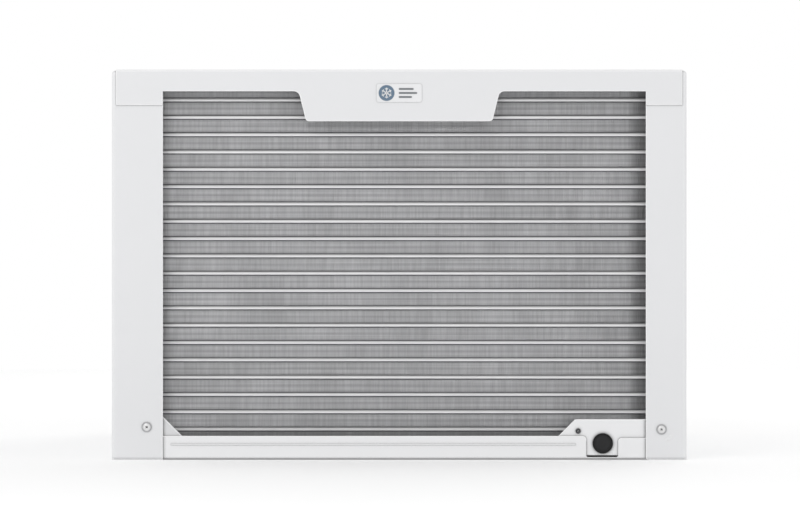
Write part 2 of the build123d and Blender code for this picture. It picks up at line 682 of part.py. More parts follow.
def outlet_duct():
    """The duct from the blower to the room, with the louver and vane bearings."""
    wall = 2.0
    outer_x = (OUTLET_X[0] - wall, OUTLET_X[1] + wall)
    outer_z = (OUTLET_Z[0] - wall, OUTLET_Z[1] + wall)
    duct = slab(outer_x, (-337, -184), outer_z)
    duct -= slab(OUTLET_X, (-340, -180), OUTLET_Z)
    for z in LOUVER_Z:
        duct -= rod_x(LOUVER_PIN + BEARING_GAP, (-320, 120), LOUVER_Y, z)
    for i in range(VANE_COUNT):
        duct -= rod_z(LOUVER_PIN + BEARING_GAP, VANE_FIRST + i * VANE_PITCH, VANE_Y, (340, 442))
    return duct


# ---- room front ----
def front_panel():
    """The moulded front with its outlet, fascia and intake openings."""
    panel = slab((-HALF, HALF), (PANEL_FACE, PANEL_REAR), (0, HEIGHT))
    rim = panel.edges().group_by(Axis.Y)[0]
    panel = fillet(rim, 7.0)
    inner_y = PANEL_FACE + PANEL_WALL
    panel -= slab((-HALF + PANEL_WALL, HALF - PANEL_WALL), (inner_y, 0), (PANEL_WALL, HEIGHT - PANEL_WALL))
    panel += slab((-HALF + 1, HALF - 1), (-324, -321.5), (1, 26))
    panel += slab((-HALF + 1, HALF - 1), (-312.5, -310), (1, 26))
    panel += slab((-HALF + 1, HALF - 1), (inner_y - 1, -310), (GRILLE_Z[1] + 1, GRILLE_Z[1] + 3))
    panel -= slab(OUTLET_X, (FRONT - 1, inner_y + 1), OUTLET_Z)
    panel -= slab((-GRILLE_HALF - 2.5, GRILLE_HALF + 2.5), (FRONT - 1, inner_y + 1), (8.5, 327))
    fascia_x = (FASCIA_X[0] - 0.5, FASCIA_X[1] + 0.5)
    fascia_z = (FASCIA_Z[0] - 0.5, FASCIA_Z[1] + 0.5)
    panel -= slab(fascia_x, (FRONT - 1, inner_y + 0.01), fascia_z)
    for side in (-1, 1):
        boss_x = sorted((side * (GRILLE_HALF + 3.5), side * (GRILLE_HALF + 9)))
        panel += slab(boss_x, (inner_y - 1, -330), (9, 25))
        panel -= rod_x(2.3 + BEARING_GAP, boss_x, GRILLE_HINGE[0], GRILLE_HINGE[1])
    panel -= slab((HALF - 4, HALF + 1), (FILTER_Y[0] - 0.8, FILTER_Y[1] + 0.8), (24, 324))
    panel -= slab((LEVER_X - 6, LEVER_X + 38), (FRONT - 1, inner_y + 1), (LEVER_Z - 2, LEVER_Z + 2))
    panel -= rod_x(6.6, (HALF - 4, HALF + 1), CORD_Y, CORD_Z)
    return panel - rod_x(9.2, (HALF - 1.2, HALF + 1), CORD_Y, CORD_Z)


def intake_grille():
    """The hinged grille with level slats, uprights and its two hinge pins."""
    y = (FRONT, FRONT + 9)
    grille = slab((-GRILLE_HALF, GRILLE_HALF), y, GRILLE_Z)
    grille = fillet(grille.edges().filter_by(Axis.Y), 3)
    border = 14
    window_x = (-GRILLE_HALF + border, GRILLE_HALF - border)
    grille -= slab(window_x, (FRONT - 1, FRONT + 10), (30, GRILLE_Z[1] - 16))
    for row in range(19):
        z = 37 + row * 15
        grille += slab((-GRILLE_HALF + 13, GRILLE_HALF - 13), (FRONT + 0.8, FRONT + 7), (z - 3.6, z + 3.6))
    for x in (-206, -103, 0, 103, 206):
        grille += slab((x - 1.5, x + 1.5), (FRONT + 5, FRONT + 8.8), (28, GRILLE_Z[1] - 14))
    for side in (-1, 1):
        pin_x = sorted((side * (GRILLE_HALF - 1), side * (GRILLE_HALF + 8)))
        grille += rod_x(2.3, pin_x, GRILLE_HINGE[0], GRILLE_HINGE[1])
    return grille


def filter_frame():
    """The sliding filter frame with its pull edge."""
    frame = slab((-300, HALF - 0.5), FILTER_Y, FILTER_Z)
    panel_z = (FILTER_Z[0] + FILTER_RIM, FILTER_Z[1] - FILTER_RIM)
    for x in FILTER_PANELS:
        frame -= slab(x, (FILTER_Y[0] - 1, FILTER_Y[1] + 1), panel_z)
    for z in (100, 175, 250):
        frame += slab((-293, 313), (FILTER_Y[0] + 1, FILTER_Y[0] + 2.4), (z - 1.5, z + 1.5))
    return frame


def filter_mesh():
    """The two woven filter panels held in the frame."""
    panels = []
    panel_z = (FILTER_Z[0] + FILTER_RIM, FILTER_Z[1] - FILTER_RIM)
    for x in FILTER_PANELS:
        panels.append(slab(x, (FILTER_Y[0] + 2.4, FILTER_Y[0] + 3.2), panel_z))
    return Compound(children=panels)


def control_fascia():
    """The control plate with its button holes and display opening."""
    y = (PANEL_FACE, PANEL_FACE + 3)
    plate = slab(FASCIA_X, y, FASCIA_Z)
    plate = fillet(plate.edges().filter_by(Axis.Y), 5)
    plate -= slab(DISPLAY_X, (FRONT, FRONT + 9), DISPLAY_Z)
    for x, z in BUTTONS.values():
        hole = RectangleRounded(BUTTON_SIZE[0] + 0.8, BUTTON_SIZE[1] + 0.8, 4.4)
        plate -= plate_y(Pos(x, z) * hole, (FRONT, FRONT + 9))
    return plate


def display_window():
    """The tinted lens over the display."""
    return slab(DISPLAY_X, (PANEL_FACE + 0.3, PANEL_FACE + 3), DISPLAY_Z)


def button(x, z):
    """A push button with the collar that keeps it behind the fascia."""
    cap = plate_y(Pos(x, z) * RectangleRounded(*BUTTON_SIZE, 4), (FRONT, PANEL_FACE + 5))
    cap = fillet(cap.edges().group_by(Axis.Y)[0], 0.6)
    collar = Pos(x, z) * RectangleRounded(BUTTON_SIZE[0] + 4, BUTTON_SIZE[1] + 4, 5)
    return cap + plate_y(collar, (PANEL_FACE + 3.4, PANEL_FACE + 5))


def circuit_board():
    """The control board with a tact switch behind each button."""
    board_y = PANEL_FACE + 9
    board = slab((140, 300), (board_y, board_y + 1.6), (352, 432))
    for x, z in BUTTONS.values():
        board += slab((x - 3, x + 3), (board_y - 2.4, board_y + 0.5), (z - 3, z + 3))
    return board


def vent_lever():
    """The lever that opens the fresh-air vent."""
    tip = slab((LEVER_X - 4, LEVER_X + 4), (FRONT, -322), (LEVER_Z - 1.6, LEVER_Z + 1.6))
    guide_y = (PANEL_FACE + PANEL_WALL + 0.4, PANEL_FACE + PANEL_WALL + 2)
    return tip + slab((LEVER_X - 10, LEVER_X + 10), guide_y, (LEVER_Z - 5, LEVER_Z + 5))


def vent_door():
    """The flap over the vent opening in the partition."""
    x = (VENT_X[0] - 5, VENT_X[1] + 5)
    door = slab(x, (BULKHEAD_Y[0] - 2.4, BULKHEAD_Y[0] - 0.4), (VENT_Z[0] - 5, VENT_Z[1] + 2))
    return door + rod_x(1.4, x, BULKHEAD_Y[0] - 1.9, VENT_Z[1] + 4) + slab(
        x, (BULKHEAD_Y[0] - 2.4, BULKHEAD_Y[0] - 1.4), (VENT_Z[1], VENT_Z[1] + 4)
    )


def louver(z):
    """One level outlet louver with its end pins."""
    blade = Pos(LOUVER_Y, z) * RectangleRounded(24, 3.2, 1.5)
    body = plate_x(blade, (OUTLET_X[0] + 1.5, OUTLET_X[1] - 1.5))
    return body + rod_x(LOUVER_PIN, (OUTLET_X[0] - 1.5, OUTLET_X[1] + 1.5), LOUVER_Y, z)


def vane(x):
    """One upright outlet vane with its pivots and its link pin."""
    blade = slab((x - 1, x + 1), (VANE_Y - 12, VANE_Y + 18), VANE_Z)
    blade = fillet(blade.edges().filter_by(Axis.Z), 0.9)
    pivot = rod_z(LOUVER_PIN, x, VANE_Y, (345.5, 436.5))
    pin = rod_z(LINK_PIN, x, VANE_Y + LINK_OFFSET, (350, VANE_Z[0] + 1))
    return blade + pivot + pin


def vane_link():
    """The bar that turns all the upright vanes together."""
    last = VANE_FIRST + (VANE_COUNT - 1) * VANE_PITCH
    bar = slab((VANE_FIRST - 6, last + 6), (VANE_Y + 10, VANE_Y + 18), (351.5, 354))
    for i in range(VANE_COUNT):
        bar -= rod_z(LINK_PIN + 0.1, VANE_FIRST + i * VANE_PITCH, VANE_Y + LINK_OFFSET, (340, 360))
    return bar


def swing_motor():
    """The small geared motor over the first vane."""
    body = rod_z(12, VANE_FIRST, VANE_Y, (OUTLET_Z[1] + 2, 444))
    return body + slab((VANE_FIRST - 17, VANE_FIRST + 17), (VANE_Y - 4, VANE_Y + 4), (437, 438.5))


def control_box():
    """The sheet-metal box for the electrical parts."""
    outer = slab((206, 318), (-236, -84), (24, 322))
    return outer - slab((207.2, 316.8), (-240, -85.2), (25.2, 320.8))


def run_capacitor():
    """The oval motor capacitor with its terminals."""
    oval = Pos(262, -120, 25.2) * SlotOverall(74, 46)
    can = extrude(oval, 110)
    can = fillet(can.edges().group_by(Axis.Z)[-1], 3)
    for x in (246, 262, 278):
        can += slab((x - 3, x + 3), (-121, -119), (134, 146))
    return can


def cord_gland():
    """The bushing where a supply cord would leave the front."""
    flange = rod_x(9, (HALF - 1.2, HALF), CORD_Y, CORD_Z)
    barrel = rod_x(6.5, (312, HALF - 1), CORD_Y, CORD_Z)
    return flange + barrel - rod_x(4.2, (300, HALF + 1), CORD_Y, CORD_Z)


def all_parts():
    """Every node of the machine by name."""
    parts = {
        "cabinet_shell": cabinet_shell(),
        "rear_top_rail": rear_top_rail(),
        "rear_badge": rear_badge(),
        "flange_screws": flange_screws(),
        "base_pan": base_pan(),
        "drain_bracket": drain_bracket(),
        "pan_gusset": pan_gusset(),
        "chassis_screws": chassis_screws(),
        "drain_plug": drain_plug(),
        "condenser_fins": coil_fins(CONDENSER),
        "condenser_tubes": coil_tubes(CONDENSER, 1),
        "evaporator_fins": coil_fins(EVAPORATOR),
        "evaporator_tubes": coil_tubes(EVAPORATOR, 1),
        "coil_end_plates": coil_end_plates(),
        "fan_shroud": fan_shroud(),
        "condenser_fan": condenser_fan(),
        "motor_shaft": motor_shaft(),
        "fan_motor": fan_motor(),
        "motor_bracket": motor_bracket(),
        "compressor": compressor(),
        "compressor_grommets": compressor_grommets(),
        "compressor_nuts": compressor_nuts(),
        "refrigerant_pipes": refrigerant_pipes(),
        "capillary_coil": capillary_coil(),
        "bulkhead": bulkhead(),
        "blower_scroll": blower_scroll(),
        "inlet_orifice": inlet_orifice(),
        "blower_wheel": blower_wheel(),
        "condensate_tray": condensate_tray(),
        "outlet_duct": outlet_duct(),
        "front_panel": front_panel(),
        "intake_grille": intake_grille(),
        "filter_frame": filter_frame(),
        "filter_mesh": filter_mesh(),
        "control_fascia": control_fascia(),
        "display_window": display_window(),
        "circuit_board": circuit_board(),
        "vent_lever": vent_lever(),
        "vent_door": vent_door(),
        "vane_link": vane_link(),
        "swing_motor": swing_motor(),
        "control_box": control_box(),
        "run_capacitor": run_capacitor(),
        "cord_gland": cord_gland(),
    }
    for name, z in zip(("louver_bottom", "louver_middle", "louver_top"), LOUVER_Z):
        parts[name] = louver(z)
    for i in range(VANE_COUNT):
        parts[f"vane_{i + 1}"] = vane(VANE_FIRST + i * VANE_PITCH)
    for name, (x, z) in BUTTONS.items():
        parts[name] = button(x, z)
    return parts


os.makedirs("parts", exist_ok=True)
for name, shape in all_parts().items():
    export_step(shape, f"parts/{name}.step")
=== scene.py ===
# Window air conditioner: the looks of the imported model, from the outdoor end to the room end.
import math

import bmesh
import bpy
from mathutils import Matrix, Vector


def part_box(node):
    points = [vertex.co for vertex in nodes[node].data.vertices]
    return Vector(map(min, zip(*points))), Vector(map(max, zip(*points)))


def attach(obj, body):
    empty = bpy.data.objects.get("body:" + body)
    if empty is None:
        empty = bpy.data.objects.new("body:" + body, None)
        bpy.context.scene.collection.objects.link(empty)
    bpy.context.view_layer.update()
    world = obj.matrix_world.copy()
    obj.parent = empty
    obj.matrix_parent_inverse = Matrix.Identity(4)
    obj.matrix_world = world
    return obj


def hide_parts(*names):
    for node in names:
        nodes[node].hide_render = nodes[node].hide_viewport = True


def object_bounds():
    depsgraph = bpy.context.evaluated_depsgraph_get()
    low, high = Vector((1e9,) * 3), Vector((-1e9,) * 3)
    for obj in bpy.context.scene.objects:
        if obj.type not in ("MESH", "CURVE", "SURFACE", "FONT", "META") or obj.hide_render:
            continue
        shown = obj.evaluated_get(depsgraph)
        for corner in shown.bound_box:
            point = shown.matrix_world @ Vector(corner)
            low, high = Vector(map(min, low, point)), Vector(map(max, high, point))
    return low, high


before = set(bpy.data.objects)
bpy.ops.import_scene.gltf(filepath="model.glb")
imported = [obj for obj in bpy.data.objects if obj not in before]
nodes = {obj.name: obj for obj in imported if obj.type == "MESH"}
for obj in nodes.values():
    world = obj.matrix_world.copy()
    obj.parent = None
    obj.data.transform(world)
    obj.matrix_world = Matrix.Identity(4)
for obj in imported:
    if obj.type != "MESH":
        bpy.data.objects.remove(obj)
cad_low, cad_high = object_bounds()
MM = 0.001


# ---- Studio ----
# A plain pale floor under an even white sky, with a large soft lamp behind each end. The camera
# stands square to the outdoor end, four metres off and at half the height of the unit.
QUARTER = math.radians(90)
CAMERA_DISTANCE = 4.0
CAMERA_X, CAMERA_HEIGHT = -0.0009, 0.2231
PICTURE_WIDTH = 0.9176
SENSOR = 36.0
SKY_SEEN = 1.0
SKY_LOW = 1.02
SKY_HIGH = 0.74
FLOOR_R = 3.2
FLOOR_GLOW = 0.18
LAMP_POWER, LAMP_SIZE = 12, 1.6

scene = bpy.context.scene
scene.view_settings.view_transform = "Standard"
bpy.ops.object.select_all(action="DESELECT")
bpy.ops.object.camera_add(
    location=(CAMERA_X, cad_high.y + CAMERA_DISTANCE, CAMERA_HEIGHT),
    rotation=(QUARTER, 0, 2 * QUARTER),
)
camera = bpy.context.object
camera.data.sensor_width = SENSOR
camera.data.lens = SENSOR * CAMERA_DISTANCE / PICTURE_WIDTH
scene.camera = camera


def add_node(tree, kind, values=None, **settings):
    """A new shader node with its settings, and with values set on its input sockets."""
    made = tree.nodes.new(kind)
    for key, value in settings.items():
        setattr(made, key, value)
    for key, value in (values or {}).items():
        made.inputs[key].default_value = value
    return made


def math_node(tree, operation, first, second=None, clamp=False):
    """A Math node; first and second are numbers or sockets. Returns its output socket."""
    made = add_node(tree, "ShaderNodeMath", operation=operation, use_clamp=clamp)
    for socket, given in zip(made.inputs, (first, second)):
        if isinstance(given, (int, float)):
            socket.default_value = given
        elif given is not None:
            tree.links.new(given, socket)
    return made.outputs[0]


sky = bpy.data.worlds.new("sky")
sky.use_nodes = True
scene.world = sky
sky_tree = sky.node_tree
background = sky_tree.nodes["Background"]
background.inputs["Color"].default_value = (1, 1, 1, 1)
up = add_node(sky_tree, "ShaderNodeSeparateXYZ")
sky_tree.links.new(add_node(sky_tree, "ShaderNodeTexCoord").outputs["Generated"], up.inputs[0])
fade = add_node(sky_tree, "ShaderNodeMapRange", {"To Min": SKY_LOW, "To Max": SKY_HIGH})
sky_tree.links.new(up.outputs["Z"], fade.inputs["Value"])
seen = add_node(sky_tree, "ShaderNodeLightPath").outputs["Is Camera Ray"]
strength = add_node(sky_tree, "ShaderNodeMix", {"B": SKY_SEEN})
sky_tree.links.new(seen, strength.inputs["Factor"])
sky_tree.links.new(fade.outputs["Result"], strength.inputs["A"])
sky_tree.links.new(strength.outputs["Result"], background.inputs["Strength"])

for lamp_name, place, aim in (
    ("lamp_outdoor_end", (1.1, 2.6, 1.9), (0, 0.34, 0.25)),
    ("lamp_room_end", (-1.2, -2.6, 1.9), (0, -0.34, 0.25)),
):
    bpy.ops.object.light_add(type="AREA", location=place)
    lamp = bpy.context.object
    lamp.name = lamp_name
    lamp.data.energy = LAMP_POWER
    lamp.data.size = LAMP_SIZE
    lamp.rotation_euler = (Vector(aim) - Vector(place)).to_track_quat("-Z", "Y").to_euler()

bpy.ops.mesh.primitive_circle_add(vertices=96, radius=FLOOR_R, fill_type="NGON", location=(0, 0, 0))
floor = bpy.context.object
floor.name = "studio_floor"
floor_paper = bpy.data.materials.new("floor_paper")
floor_paper.use_nodes = True
floor_shader = floor_paper.node_tree.nodes["Principled BSDF"]
floor_shader.inputs["Base Color"].default_value = (0.88, 0.88, 0.88, 1)
floor_shader.inputs["Roughness"].default_value = 0.9
floor_shader.inputs["Emission Color"].default_value = (1, 1, 1, 1)
floor_shader.inputs["Emission Strength"].default_value = FLOOR_GLOW
floor.data.materials.append(floor_paper)


# ---- Cabinet sheet metal ----
# Wrapper, top rail, chassis pan, drain bracket and corner gusset: bent steel sheet, zinc coated
# and finished in pale grey powder paint. Every sheared edge carries a thin painted highlight.
PAINT_COLOUR = (0.766, 0.770, 0.782, 1)
# Near-white colour of the painted highlight along the edges.
PAINT_EDGE_HIGHLIGHT = (0.985, 0.986, 0.990, 1)
PAN_COLOUR = (0.835, 0.837, 0.846, 1)
# The gusset takes a darker copy of the grey paint: painted shade, as it sits recessed behind the pan.
GUSSET_SHADED_COLOUR = (0.690, 0.694, 0.704, 1)
PAINT_DUST = (0.52, 0.50, 0.47, 1)
PAN_LIP = 21.0 * MM


def new_group(name, inputs, outputs):
    """An empty shader node group. Sockets are (name, type, default) and (name, type)."""
    tree = bpy.data.node_groups.new(name, "ShaderNodeTree")
    for socket_name, kind, default in inputs:
        socket = tree.interface.new_socket(socket_name, in_out="INPUT", socket_type=kind)
        socket.default_value = default
    for socket_name, kind in outputs:
        tree.interface.new_socket(socket_name, in_out="OUTPUT", socket_type=kind)
    return tree, add_node(tree, "NodeGroupInput"), add_node(tree, "NodeGroupOutput")


def object_place(tree):
    """Object coordinates, as a socket."""
    return add_node(tree, "ShaderNodeTexCoord").outputs["Object"]


def separate(tree, vector):
    """The three parts of a vector, as sockets by their letters."""
    made = add_node(tree, "ShaderNodeSeparateXYZ")
    tree.links.new(vector, made.inputs[0])
    return made.outputs


def noise(tree, vector, scale, detail, roughness=0.5):
    """A Noise texture along a vector. Returns its value."""
    values = {"Scale": scale, "Detail": detail, "Roughness": roughness}
    made = add_node(tree, "ShaderNodeTexNoise", values)
    tree.links.new(vector, made.inputs["Vector"])
    return made.outputs["Fac"]


FLOAT, VECTOR = "NodeSocketFloat", "NodeSocketVector"

# Soft edge: the rounded normal of a sheared or moulded edge, and a mask that is 1 on it. The
# materials lighten their colour by this mask as a painted highlight.
soft_edge, given, result = new_group(
    "soft_edge",
    [("Radius", FLOAT, 0.6 * MM), ("Gain", FLOAT, 9.0)],
    [("Mask", FLOAT), ("Normal", VECTOR)],
)
rounded = add_node(soft_edge, "ShaderNodeBevel", samples=6)
soft_edge.links.new(given.outputs["Radius"], rounded.inputs["Radius"])
flat = add_node(soft_edge, "ShaderNodeNewGeometry")
turn = add_node(soft_edge, "ShaderNodeVectorMath", operation="DOT_PRODUCT")
soft_edge.links.new(rounded.outputs[0], turn.inputs[0])
soft_edge.links.new(flat.outputs["Normal"], turn.inputs[1])
spread = math_node(soft_edge, "SUBTRACT", 1.0, turn.outputs["Value"])
strong = math_node(soft_edge, "MULTIPLY", spread, given.outputs["Gain"], clamp=True)
soft_edge.links.new(strong, result.inputs["Mask"])
soft_edge.links.new(rounded.outputs[0], result.inputs["Normal"])

# Crevice: 1 where two sheets meet or a head sits on its seat, 0 in the open. The materials
# darken their colour by it as painted shade.
crevice, given, result = new_group(
    "crevice",
    [("Reach", FLOAT, 3.0 * MM), ("Gain", FLOAT, 1.5)],
    [("Mask", FLOAT)],
)
covered = add_node(crevice, "ShaderNodeAmbientOcclusion", samples=8)
crevice.links.new(given.outputs["Reach"], covered.inputs["Distance"])
hidden = math_node(crevice, "SUBTRACT", 1.0, covered.outputs["AO"])
deep = math_node(crevice, "MULTIPLY", hidden, given.outputs["Gain"], clamp=True)
crevice.links.new(deep, result.inputs["Mask"])

# Surface texture: an even fine relief and a slow change of tone, as of sprayed or moulded skin.
skin_texture, given, result = new_group(
    "skin_texture",
    [("Grain", FLOAT, 900.0), ("Drift", FLOAT, 7.0)],
    [("Height", FLOAT), ("Tone", FLOAT)],
)
place = object_place(skin_texture)
fine = add_node(skin_texture, "ShaderNodeTexNoise", {"Detail": 3.0, "Roughness": 0.55})
slow = add_node(skin_texture, "ShaderNodeTexNoise", {"Detail": 5.0, "Roughness": 0.6})
for texture, scale in ((fine, "Grain"), (slow, "Drift")):
    skin_texture.links.new(place, texture.inputs["Vector"])
    skin_texture.links.new(given.outputs[scale], texture.inputs["Scale"])
skin_texture.links.new(fine.outputs["Fac"], result.inputs["Height"])
skin_texture.links.new(slow.outputs["Fac"], result.inputs["Tone"])

# Dust: settles on faces that look up, in patches.
dust, given, result = new_group(
    "dust",
    [("Amount", FLOAT, 0.3)],
    [("Mask", FLOAT)],
)
patches = noise(dust, object_place(dust), 38.0, 6.0, 0.65)
facing = separate(dust, add_node(dust, "ShaderNodeNewGeometry").outputs["Normal"])
upward = math_node(dust, "MAXIMUM", facing["Z"], 0.0)
lying = math_node(dust, "MULTIPLY", upward, patches)
thick = math_node(dust, "MULTIPLY", lying, given.outputs["Amount"])
dust.links.new(thick, result.inputs["Mask"])


def use_group(tree, group, **values):
    """Places a node group in a material, with its own input values."""
    return add_node(tree, "ShaderNodeGroup", values, node_tree=group)


def mix_colour(tree, factor, first, second, blend="MIX"):
    """A colour Mix node; each argument is a value or a socket. Returns its colour output."""
    made = add_node(tree, "ShaderNodeMix", data_type="RGBA", blend_type=blend)
    for index, value in ((0, factor), (6, first), (7, second)):
        if isinstance(value, bpy.types.NodeSocket):
            tree.links.new(value, made.inputs[index])
        else:
            made.inputs[index].default_value = value
    return made.outputs[2]


def spread_value(tree, value, low, high, from_low=0.0, from_high=1.0):
    """A Map Range node from one span of numbers to another. Returns its output."""
    made = add_node(
        tree,
        "ShaderNodeMapRange",
        {"From Min": from_low, "From Max": from_high, "To Min": low, "To Max": high},
    )
    tree.links.new(value, made.inputs["Value"])
    return made.outputs["Result"]


def new_material(name):
    """A material with a bare Principled shader. Returns the material, its tree and the shader."""
    made = bpy.data.materials.new(name)
    made.use_nodes = True
    return made, made.node_tree, made.node_tree.nodes["Principled BSDF"]


def skinned_material(name, grain, drift):
    """A material with the surface texture. Returns also the texture's slow and fine outputs."""
    made, tree, shader = new_material(name)
    skin = use_group(tree, skin_texture, Grain=grain, Drift=drift)
    return made, tree, shader, skin.outputs["Tone"], skin.outputs["Height"]


def feed(shader, name, value):
    """Links a value to one of the shader's inputs."""
    shader.id_data.links.new(value, shader.inputs[name])


def add_bump(tree, shader, height, distance, strength, normal=None):
    """Feeds a height to the shader's Normal, over a rounded normal if one is given."""
    bump = add_node(tree, "ShaderNodeBump", {"Distance": distance, "Strength": strength})
    tree.links.new(height, bump.inputs["Height"])
    if normal is not None:
        tree.links.new(normal, bump.inputs["Normal"])
    feed(shader, "Normal", bump.outputs[0])


def scaled(colour, factor):
    """A colour made darker or lighter, and never over white."""
    return tuple(min(1.0, part * factor) for part in colour[:3]) + (1,)


def powder_paint(
    name, colour, edge_highlight_colour, edge_radius=1.9 * MM, edge_gain=46.0, crevice_shade_gain=1.7, highlight_from=-1.0
):
    """Powder paint: slight orange peel, a slow drift of tone, a thin painted edge highlight, dust on top.

    The painted edge highlight shows above the height highlight_from only; painted shade darkens crevices."""
    made, tree, shader, slow, fine = skinned_material(name, 650.0, 6.0)
    edge = use_group(tree, soft_edge, Radius=edge_radius, Gain=edge_gain)
    crevice_shade = use_group(tree, crevice, Reach=4.2 * MM, Gain=crevice_shade_gain)
    settled = use_group(tree, dust, Amount=0.16)
    tone = mix_colour(tree, slow, scaled(colour, 0.965), colour)
    # Painted shade: the paint darkens where sheets meet and heads sit, by the occlusion mask.
    crevice_shaded = mix_colour(tree, crevice_shade.outputs["Mask"], tone, scaled(colour, 0.42))
    parts = separate(tree, object_place(tree))
    # Painted highlight: the edges lighten to a near-white colour, above a set height only.
    highlight_band = spread_value(tree, parts["Z"], 0.0, 1.0, highlight_from, highlight_from + MM)
    bright = math_node(tree, "MULTIPLY", edge.outputs["Mask"], highlight_band)
    edge_highlighted = mix_colour(tree, bright, crevice_shaded, edge_highlight_colour)
    dusted = mix_colour(tree, settled.outputs["Mask"], edge_highlighted, PAINT_DUST)
    feed(shader, "Base Color", dusted)
    feed(shader, "Roughness", spread_value(tree, slow, 0.46, 0.58))
    add_bump(tree, shader, fine, 0.12 * MM, 0.22, edge.outputs["Normal"])
    return made


def finish_nodes(material, *names):
    """Gives CAD nodes their finish: every material slot takes the new material."""
    for name in names:
        slots = nodes[name].data.materials
        for index in range(len(slots)):
            slots[index] = material


cabinet_paint = powder_paint("cabinet_paint", PAINT_COLOUR, PAINT_EDGE_HIGHLIGHT)
pan_paint = powder_paint("pan_paint", PAN_COLOUR, PAINT_EDGE_HIGHLIGHT, crevice_shade_gain=2.6, highlight_from=PAN_LIP)
gusset_shaded_paint = powder_paint("gusset_shaded_paint", GUSSET_SHADED_COLOUR, PAINT_EDGE_HIGHLIGHT)
finish_nodes(cabinet_paint, "cabinet_shell", "rear_top_rail")
finish_nodes(pan_paint, "base_pan", "drain_bracket")
finish_nodes(gusset_shaded_paint, "pan_gusset")


# ---- Louvre blades ----
# Each cooling slot in the side walls and the roof is lanced, and its strip is pressed inwards as
# a quarter hood with closed ends. The blades are part of the wrapper and carry its paint.
WALL = 1.2 * MM
SIDE_SLOT = Vector((6.5, 60.0, 5.0)) * MM
SIDE_COLUMNS = (182.0 * MM, 252.0 * MM)
SIDE_FIRST, SIDE_PITCH, SIDE_ROWS = 70.0 * MM, 16.0 * MM, 20
ROOF_SLOT = Vector((70.0, 5.0, 6.5)) * MM
ROOF_FIRST, ROOF_PITCH = Vector((-205.0, 165.0)) * MM, Vector((82.0, 15.0)) * MM
ROOF_COUNT = (6, 8)
BLADE_SHEET = 0.9 * MM
BLADE_BEND = 1.4 * MM
BLADE_SLOPE = 3.6 * MM
LAP, LOW_LAP, BITE = 0.6 * MM, 0.9 * MM, 0.2 * MM
SMOOTH_BELOW = math.radians(30)


def only(obj):
    """Selects one object and makes it the active one."""
    if bpy.context.object and bpy.context.object.mode != "OBJECT":
        bpy.ops.object.mode_set(mode="OBJECT")
    bpy.ops.object.select_all(action="DESELECT")
    obj.select_set(True)
    bpy.context.view_layer.objects.active = obj


def edit(obj):
    """Goes into edit mode on one object."""
    only(obj)
    bpy.ops.object.mode_set(mode="EDIT")


def pick(obj, kind, test):
    """In edit mode: selects the faces, edges or corners for which the test holds, and no others."""
    bpy.ops.mesh.select_mode(type=kind)
    bpy.ops.mesh.select_all(action="DESELECT")
    mesh = bmesh.from_edit_mesh(obj.data)
    elements = {"FACE": mesh.faces, "EDGE": mesh.edges, "VERT": mesh.verts}[kind]
    for element in elements:
        if test(element):
            element.select_set(True)
    bmesh.update_edit_mesh(obj.data)


def middle(edge):
    """The middle of an edge."""
    return (edge.verts[0].co + edge.verts[1].co) / 2


def apply_modifier(obj, kind, **settings):
    """Adds a modifier, sets it and applies it."""
    only(obj)
    made = obj.modifiers.new(kind.lower(), kind)
    for key, value in settings.items():
        setattr(made, key, value)
    bpy.ops.object.modifier_apply(modifier=made.name)


def array(obj, count, step):
    """Repeats a piece in a row: count copies, each one step on from the last."""
    apply_modifier(
        obj, "ARRAY", count=count, use_relative_offset=False, use_constant_offset=True,
        constant_offset_displace=step,
    )


def settle(obj):
    """Puts the object's place, turn and size into its mesh."""
    only(obj)
    bpy.ops.object.transform_apply(location=True, rotation=True, scale=True)


def block(low, high):
    """A box from its low corner to its high corner, with its place in its mesh."""
    low, high = Vector(low), Vector(high)
    bpy.ops.object.select_all(action="DESELECT")
    bpy.ops.mesh.primitive_cube_add(size=1, location=(low + high) / 2, scale=high - low)
    made = bpy.context.object
    settle(made)
    return made


def finish_piece(obj, name, body, material, stands_for=()):
    """Names a made piece, gives it its finish, and lets it ride on its body."""
    only(obj)
    bpy.ops.object.shade_smooth_by_angle(angle=SMOOTH_BELOW)
    obj.name = obj.data.name = name
    if material is not None:
        obj.data.materials.clear()
        obj.data.materials.append(material)
    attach(obj, body)
    if stands_for:
        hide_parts(*stands_for)
    return obj


def face_outwards(obj):
    """Turns every face of a piece outwards."""
    edit(obj)
    bpy.ops.mesh.select_all(action="SELECT")
    bpy.ops.mesh.normals_make_consistent(inside=False)
    bpy.ops.object.mode_set(mode="OBJECT")


def press_blade(blade, is_open, is_inner_edge, shift):
    """Opens the blade's box on two sides, slopes its inner edge and gives it a thickness."""
    edit(blade)
    pick(blade, "FACE", is_open)
    bpy.ops.mesh.delete(type="FACE")
    pick(blade, "EDGE", is_inner_edge)
    bpy.ops.transform.translate(value=shift)
    bpy.ops.mesh.bevel(offset=BLADE_BEND, segments=3, affect="EDGES")
    bpy.ops.object.mode_set(mode="OBJECT")
    apply_modifier(blade, "SOLIDIFY", thickness=BLADE_SHEET, offset=1)


shell_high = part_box("cabinet_shell")[1]

# One side blade: a shallow box behind the slot, open to the outside and below, sloping inwards.
side_middle = Vector((shell_high.x - WALL, SIDE_COLUMNS[0], SIDE_FIRST))
side_blade = block(
    side_middle - Vector((SIDE_SLOT.x, SIDE_SLOT.y / 2 + LAP, SIDE_SLOT.z / 2 + LOW_LAP)),
    side_middle + Vector((BITE, SIDE_SLOT.y / 2 + LAP, SIDE_SLOT.z / 2 + LAP)),
)


def side_inner_edge(edge):
    """The upper long edge of the side blade, away from the wall."""
    lengthwise = abs(edge.verts[0].co.y - edge.verts[1].co.y) > MM
    inner = abs(middle(edge).x - (side_middle.x - SIDE_SLOT.x)) < MM
    return lengthwise and inner and middle(edge).z > side_middle.z


